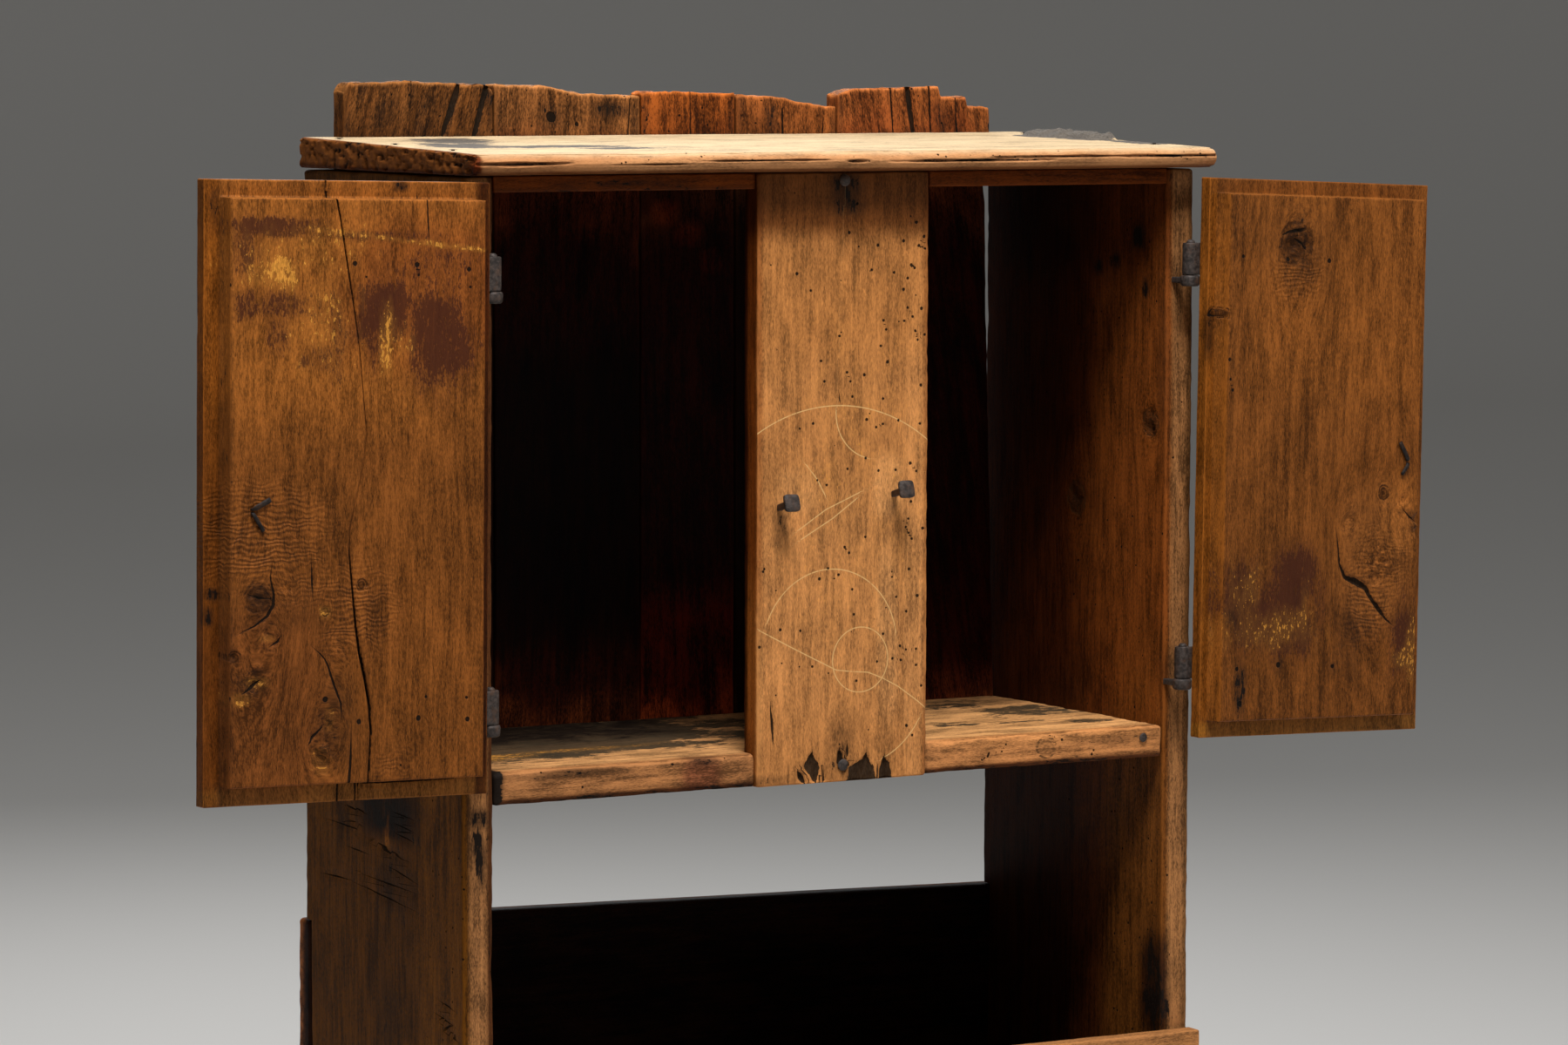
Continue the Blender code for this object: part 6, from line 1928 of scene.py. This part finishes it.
def smooth_path(points, count):
    """Points evenly along a path of straight pieces, rounded by a running mean of three."""
    points = np.asarray(points, float)
    run = np.concatenate([[0], np.cumsum(np.linalg.norm(np.diff(points, axis=0), axis=1))])
    at = np.linspace(0, run[-1], count)
    path = np.stack([np.interp(at, run, points[:, axis]) for axis in range(3)], 1)
    for _ in range(2):
        path[1:-1] = (path[:-2] + path[1:-1] + path[2:]) / 3
    return path


class SIDEBOARD_OT_pulls(PieceOperator, bpy.types.Operator):
    """Ring pulls held by split pins that are clenched on the inner faces"""

    bl_idname = "sideboard.pulls"
    bl_label = "Ring pulls"

    def execute(self, context):
        finish = forged("clenched_iron", 0.45)
        for name, door in DOORS.items():
            place = door_place(name)
            pin_u = door["span"][1] - PIN_INSET
            eye = EYE_BORE + PIN_WIRE
            eye_n = OUTER_FACE - SEAT - eye - PIN_WIRE
            loop = np.linspace(0.31, 2 * np.pi - 0.31, 30)
            ring = np.stack([np.full(30, pin_u), eye_n + eye * np.cos(loop), PIN_HEIGHT + eye * np.sin(loop)], 1)
            inner = FIELD_FACE + PIN_WIRE + SEAT
            legs = []
            for (leg_u, leg_v), side in zip(PIN_LEGS[name], (1, -1)):
                root = np.array([pin_u, inner, PIN_HEIGHT + side * 0.0017])
                start = root - (0, 0.030, 0)
                tip = root + (leg_u, -0.0006, leg_v)
                legs.append(smooth_path([start, root - (0, 0.002, 0), root, root + (tip - root) * 0.15, tip], 26))
            path = np.concatenate([legs[0][::-1], ring, legs[1]])
            flat = smoothstep(path[:, 1], FIELD_FACE - 0.002, FIELD_FACE)
            flat *= np.where(np.arange(len(path)) < len(legs[0]), 1.0, 0.5)
            points, quads = wire_skin(path, PIN_WIRE * (1.15 - 0.25 * flat), PIN_WIRE * (1 + 0.80 * flat))
            points, quads = place(points, quads)
            label = "split_pin_" + name
            add_piece(label, points, quads, finish, name + "_door", (label,), "wrought_iron")
            turn = np.linspace(0, 2 * np.pi, 72, endpoint=False)
            hang = PIN_HEIGHT - (EYE_BORE - RING_WIRE - SEAT) - RING_RADIUS
            wobble = 1 + 0.012 * np.sin(3 * turn + 0.6)
            path = np.stack([pin_u + RING_RADIUS * wobble * np.sin(turn), np.full(72, eye_n), hang + RING_RADIUS * np.cos(turn)], 1)
            points, quads = place(*ring_skin(path))
            label = "ring_pull_" + name
            add_piece(label, points, quads, finish, name + "_ring", (label,), "wrought_iron")
        return {"FINISHED"}


def ring_skin(path):
    """A round bar carried along a closed path in the plane of u and v."""
    ahead = np.roll(path, -1, 0) - np.roll(path, 1, 0)
    ahead /= np.linalg.norm(ahead, axis=1, keepdims=True)
    across = np.tile((0.0, 1.0, 0.0), (len(path), 1))
    other = np.cross(ahead, across)
    angles = np.linspace(0, 2 * np.pi, 16, endpoint=False)
    loops = path[:, None] + RING_WIRE * (np.cos(angles)[:, None] * across[:, None] + np.sin(angles)[:, None] * other[:, None])
    return carried(loops, True)


def nail_skin(point, out, length, head, height, shank, steps, seed, rough=0.12):
    """A forged nail: a low dented head on the face and a tapering shank below it."""
    profile = [(shank * 0.4, -length), (shank, -length * 0.6), (shank, 0.0002), (head * 0.92, 0.0002)]
    profile += [(head, height * 0.30), (head * 0.86, height * 0.62), (head * 0.5, height * 0.92), (head * 0.1, height)]
    return turned(profile, steps, point, out, seed, rough)


class SIDEBOARD_OT_nails(PieceOperator, bpy.types.Operator):
    """Forged nails: in the straps and the stile, two catches, and those that hold the boards"""

    bl_idname = "sideboard.nails"
    bl_label = "Nails"

    def execute(self, context):
        finish = forged()
        for side, name in enumerate(DOORS):
            origin, along, inwards, up = door_frame(name)
            face = OUTER_FACE - SEAT - STRAP_THICK
            skins = []
            for order, level in enumerate(EYE_LEVELS.values()):
                for count, u in enumerate(STRAP_NAILS):
                    point = origin + along * u + inwards * face + up * level
                    skins.append(nail_skin(point, -inwards, 0.034, 0.0058, 0.0024, 0.0018, 12, 140 + 9 * side + 3 * order + count))
            points, quads = joined(skins)
            nodes = [f"strap_nail_{name}_{number}" for number in range(1, 7)]
            add_piece("strap_nails_" + name, points, quads, finish, name + "_door", nodes, "wrought_iron")
        front = STILE_LOW[Y]
        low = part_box("stile_nail_1")
        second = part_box("stile_nail_2")
        places = [((corner[0][X] + corner[1][X]) / 2, front, (corner[0][Z] + corner[1][Z]) / 2) for corner in (low, second)]
        skins = [nail_skin(point, (0, -1, 0), 0.045, 0.0062, 0.0026, 0.0018, 14, 160 + n, 0.2) for n, point in enumerate(places)]
        points, quads = joined(skins)
        add_piece("stile_nails", points, quads, finish, "carcass", ("stile_nail_1", "stile_nail_2"), "wrought_iron")
        rise = radians(15)
        out = np.array([0, -cos(rise), sin(rise)])
        for number, (name, x, z) in enumerate((("left", -0.0730, 1.114), ("right", 0.0585, 1.1225))):
            head = np.array([x, front, z]) + out * 0.022
            label = "catch_nail_" + name
            points, quads = catch_skin(head, out, 170 + number)
            add_piece(label, points, quads, finish, "carcass", (label,), "wrought_iron")
        groups = {
            "top_nails": [
                ((x, y, TOP_SURFACE + np.interp(y, [corner[Y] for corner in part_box("top_board")], TOP_TILT)), (0, 0, 1))
                for x in (-0.403, 0.403)
                for y in (-0.09, 0.03, 0.15)
            ],
            "front_nails": [
                ((x, FRONT_Y - 0.0223, z), (0, -1, 0)) for x in (-0.403, 0.403) for z in (0.15, 0.27, 0.38, 0.51)
            ],
            "back_nails": [
                ((x, REAR_Y, 0.858), (0, 1, 0)) for x in (-0.35, -0.25, -0.18, -0.08, -0.02, 0.02, 0.10, 0.16, 0.24, 0.34)
            ],
            "lower_back_nails": [
                ((x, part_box("lower_back_upper")[1][Y], z), (0, 1, 0)) for x in (-0.403, 0.403) for z in (0.16, 0.32, 0.45, 0.60)
            ],
            "shelf_nails": [
                ((0.361, FRONT_Y, 0.8617), (0, -1, 0)),
                *(((sign * 0.42, y, 0.857), (sign, 0, 0)) for sign in (-1, 1) for y in (-0.07, 0.10)),
            ],
            "floor_nails": [((x, y, 0.152), (0, 0, 1)) for x in (-0.373, 0.373) for y in (-0.09, 0.0, 0.06, 0.15)],
        }
        flush = {"top_nails": 0.0006}
        for order, (label, heads) in enumerate(groups.items()):
            rise = flush.get(label, 0.0022)
            skins = [
                nail_skin(point, out, 0.04, 0.0050, rise, 0.0018, 12, 200 + 12 * order + n, 0.2)
                for n, (point, out) in enumerate(heads)
            ]
            points, quads = joined(skins)
            add_piece(label, points, quads, finish, "carcass", (), "wrought_iron")
        return {"FINISHED"}


def catch_skin(head, out, seed):
    """A square nail with a square head: rounded squares carried along the nail."""
    out = np.asarray(out)
    right = np.array([1.0, 0, 0])
    above = np.cross(out, right)
    stations = [(-0.038, 0.0012), (-0.022, 0.0030), (-0.001, 0.0032), (0.0, 0.0075), (0.0006, 0.0086), (0.0028, 0.0087)]
    stations += [(0.0038, 0.0079), (0.0042, 0.0045), (0.0042, 0.0008)]
    corner = np.linspace(0, 2 * np.pi, 24, endpoint=False) + np.pi / 24
    square = np.stack([np.cos(corner), np.sin(corner)], 1)
    square = np.sign(square) * np.abs(square) ** 0.4
    loops = np.stack([head + out * along + half * (square[:, :1] * right + square[:, 1:] * above) for along, half in stations])
    points, quads = carried(loops)
    dent = layered_noise(points, 0.006, seed) - 0.5
    return points + 0.0009 * dent[:, None] * (right + above), quads


class SIDEBOARD_OT_stage(PieceOperator, bpy.types.Operator):
    """Pale floor and backdrop, soft lamps and the camera"""

    bl_idname = "sideboard.stage"
    bl_label = "Stage"

    def execute(self, context):
        scene = context.scene
        stage = scene.sideboard_stage
        turn = np.linspace(0, np.pi / 2, 17)
        bend = 5.0
        wall = 15.0
        depth = np.concatenate([[-30.0, wall], wall + bend * np.sin(turn[1:]), [wall + bend]])
        rise = np.concatenate([[0.0, 0.0], bend * (1 - np.cos(turn[1:])), [16.0]])
        across = np.array([-32.0, 32.0])
        points = np.stack(
            [np.repeat(across, len(depth)), np.tile(depth, 2), np.tile(rise, 2)], 1
        )
        first = np.arange(len(depth) - 1)
        quads = np.stack([first, first + len(depth), first + len(depth) + 1, first + 1], 1)
        mesh = mesh_from_arrays("floor", points, quads)
        made, tree, shader = new_finish("studio_floor")
        shader.inputs["Base Color"].default_value = opaque(stage.floor)
        shader.inputs["Roughness"].default_value = 0.9
        mesh.materials.append(made)
        floor = bpy.data.objects.new("floor", mesh)
        scene.collection.objects.link(floor)
        floor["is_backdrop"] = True

        world = bpy.data.worlds.new("studio")
        world.use_nodes = True
        world.node_tree.nodes["Background"].inputs["Color"].default_value = (1.0, 0.985, 0.96, 1.0)
        world.node_tree.nodes["Background"].inputs["Strength"].default_value = stage.fill
        scene.world = world
        target = Vector((0.0, -0.1, 1.1))
        lamps = (
            ("key", (-0.55, -1.75, 4.55), stage.key, 1.3),
            ("side", (3.4, -2.4, 2.6), stage.key * 0.10, 1.6),
            ("rear", (1.6, 4.2, 3.4), stage.key * 0.22, 2.0),
        )
        for name, spot, power, size in lamps:
            lamp = bpy.data.lights.new(name, "AREA")
            lamp.energy = power
            lamp.size = size
            held = bpy.data.objects.new(name, lamp)
            held.matrix_world = Matrix.Translation(spot) @ (target - Vector(spot)).to_track_quat("-Z", "Y").to_matrix().to_4x4()
            scene.collection.objects.link(held)

        forward = Vector((sin(stage.yaw) * cos(stage.pitch), cos(stage.yaw) * cos(stage.pitch), -sin(stage.pitch)))
        right = Vector((cos(stage.yaw), -sin(stage.yaw), 0))
        down = forward.cross(right)
        right_rolled = right * cos(stage.roll) - down * sin(stage.roll)
        down_rolled = right * sin(stage.roll) + down * cos(stage.roll)
        turned_view = Matrix((right_rolled, -down_rolled, -forward)).transposed().to_4x4()
        lens = bpy.data.cameras.new("camera")
        lens.lens = stage.lens
        lens.sensor_width = 36.0
        lens.clip_end = 100.0
        camera = bpy.data.objects.new("camera", lens)
        camera.matrix_world = Matrix.Translation(stage.camera) @ turned_view
        scene.collection.objects.link(camera)
        scene.camera = camera
        scene.view_settings.view_transform = "Standard"
        return {"FINISHED"}


OPERATORS = (
    SIDEBOARD_OT_stage,
    SIDEBOARD_OT_sides,
    SIDEBOARD_OT_top,
    SIDEBOARD_OT_frame,
    SIDEBOARD_OT_back,
    SIDEBOARD_OT_bin,
    SIDEBOARD_OT_doors,
    SIDEBOARD_OT_hinges,
    SIDEBOARD_OT_pulls,
    SIDEBOARD_OT_nails,
)
GROUPS = {"sideboard_timber": SideboardTimber, "sideboard_wear": SideboardWear, "sideboard_stage": SideboardStage}


class SIDEBOARD_PT_panel(bpy.types.Panel):
    """Lists the sideboard's operators and settings"""

    bl_idname = "SIDEBOARD_PT_panel"
    bl_label = "Plank Sideboard"
    bl_space_type = "VIEW_3D"
    bl_region_type = "UI"
    bl_category = "Sideboard"

    def draw(self, context):
        for made in OPERATORS:
            self.layout.operator(made.bl_idname)
        for label, group in GROUPS.items():
            box = self.layout.box()
            for key in group.__annotations__:
                box.prop(getattr(context.scene, label), key)


def register():
    """Register the classes and hang the settings on the scene."""
    for made in (*GROUPS.values(), *OPERATORS, SIDEBOARD_PT_panel):
        bpy.utils.register_class(made)
    for label, group in GROUPS.items():
        setattr(bpy.types.Scene, label, bpy.props.PointerProperty(type=group))


def unregister():
    """Undo register."""
    for label in GROUPS:
        delattr(bpy.types.Scene, label)
    for made in reversed((*GROUPS.values(), *OPERATORS, SIDEBOARD_PT_panel)):
        bpy.utils.unregister_class(made)


def main():
    """Build everything, then measure the solids' box and the dressed model's box."""
    register()
    for made in OPERATORS:
        group, name = made.bl_idname.split(".")
        getattr(getattr(bpy.ops, group), name)()
    boxes = {"cad": CAD_BOX, "visual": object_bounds()}
    {label: [list(corner) for corner in box] for label, box in boxes.items()}


if __name__ == "__main__":
    main()
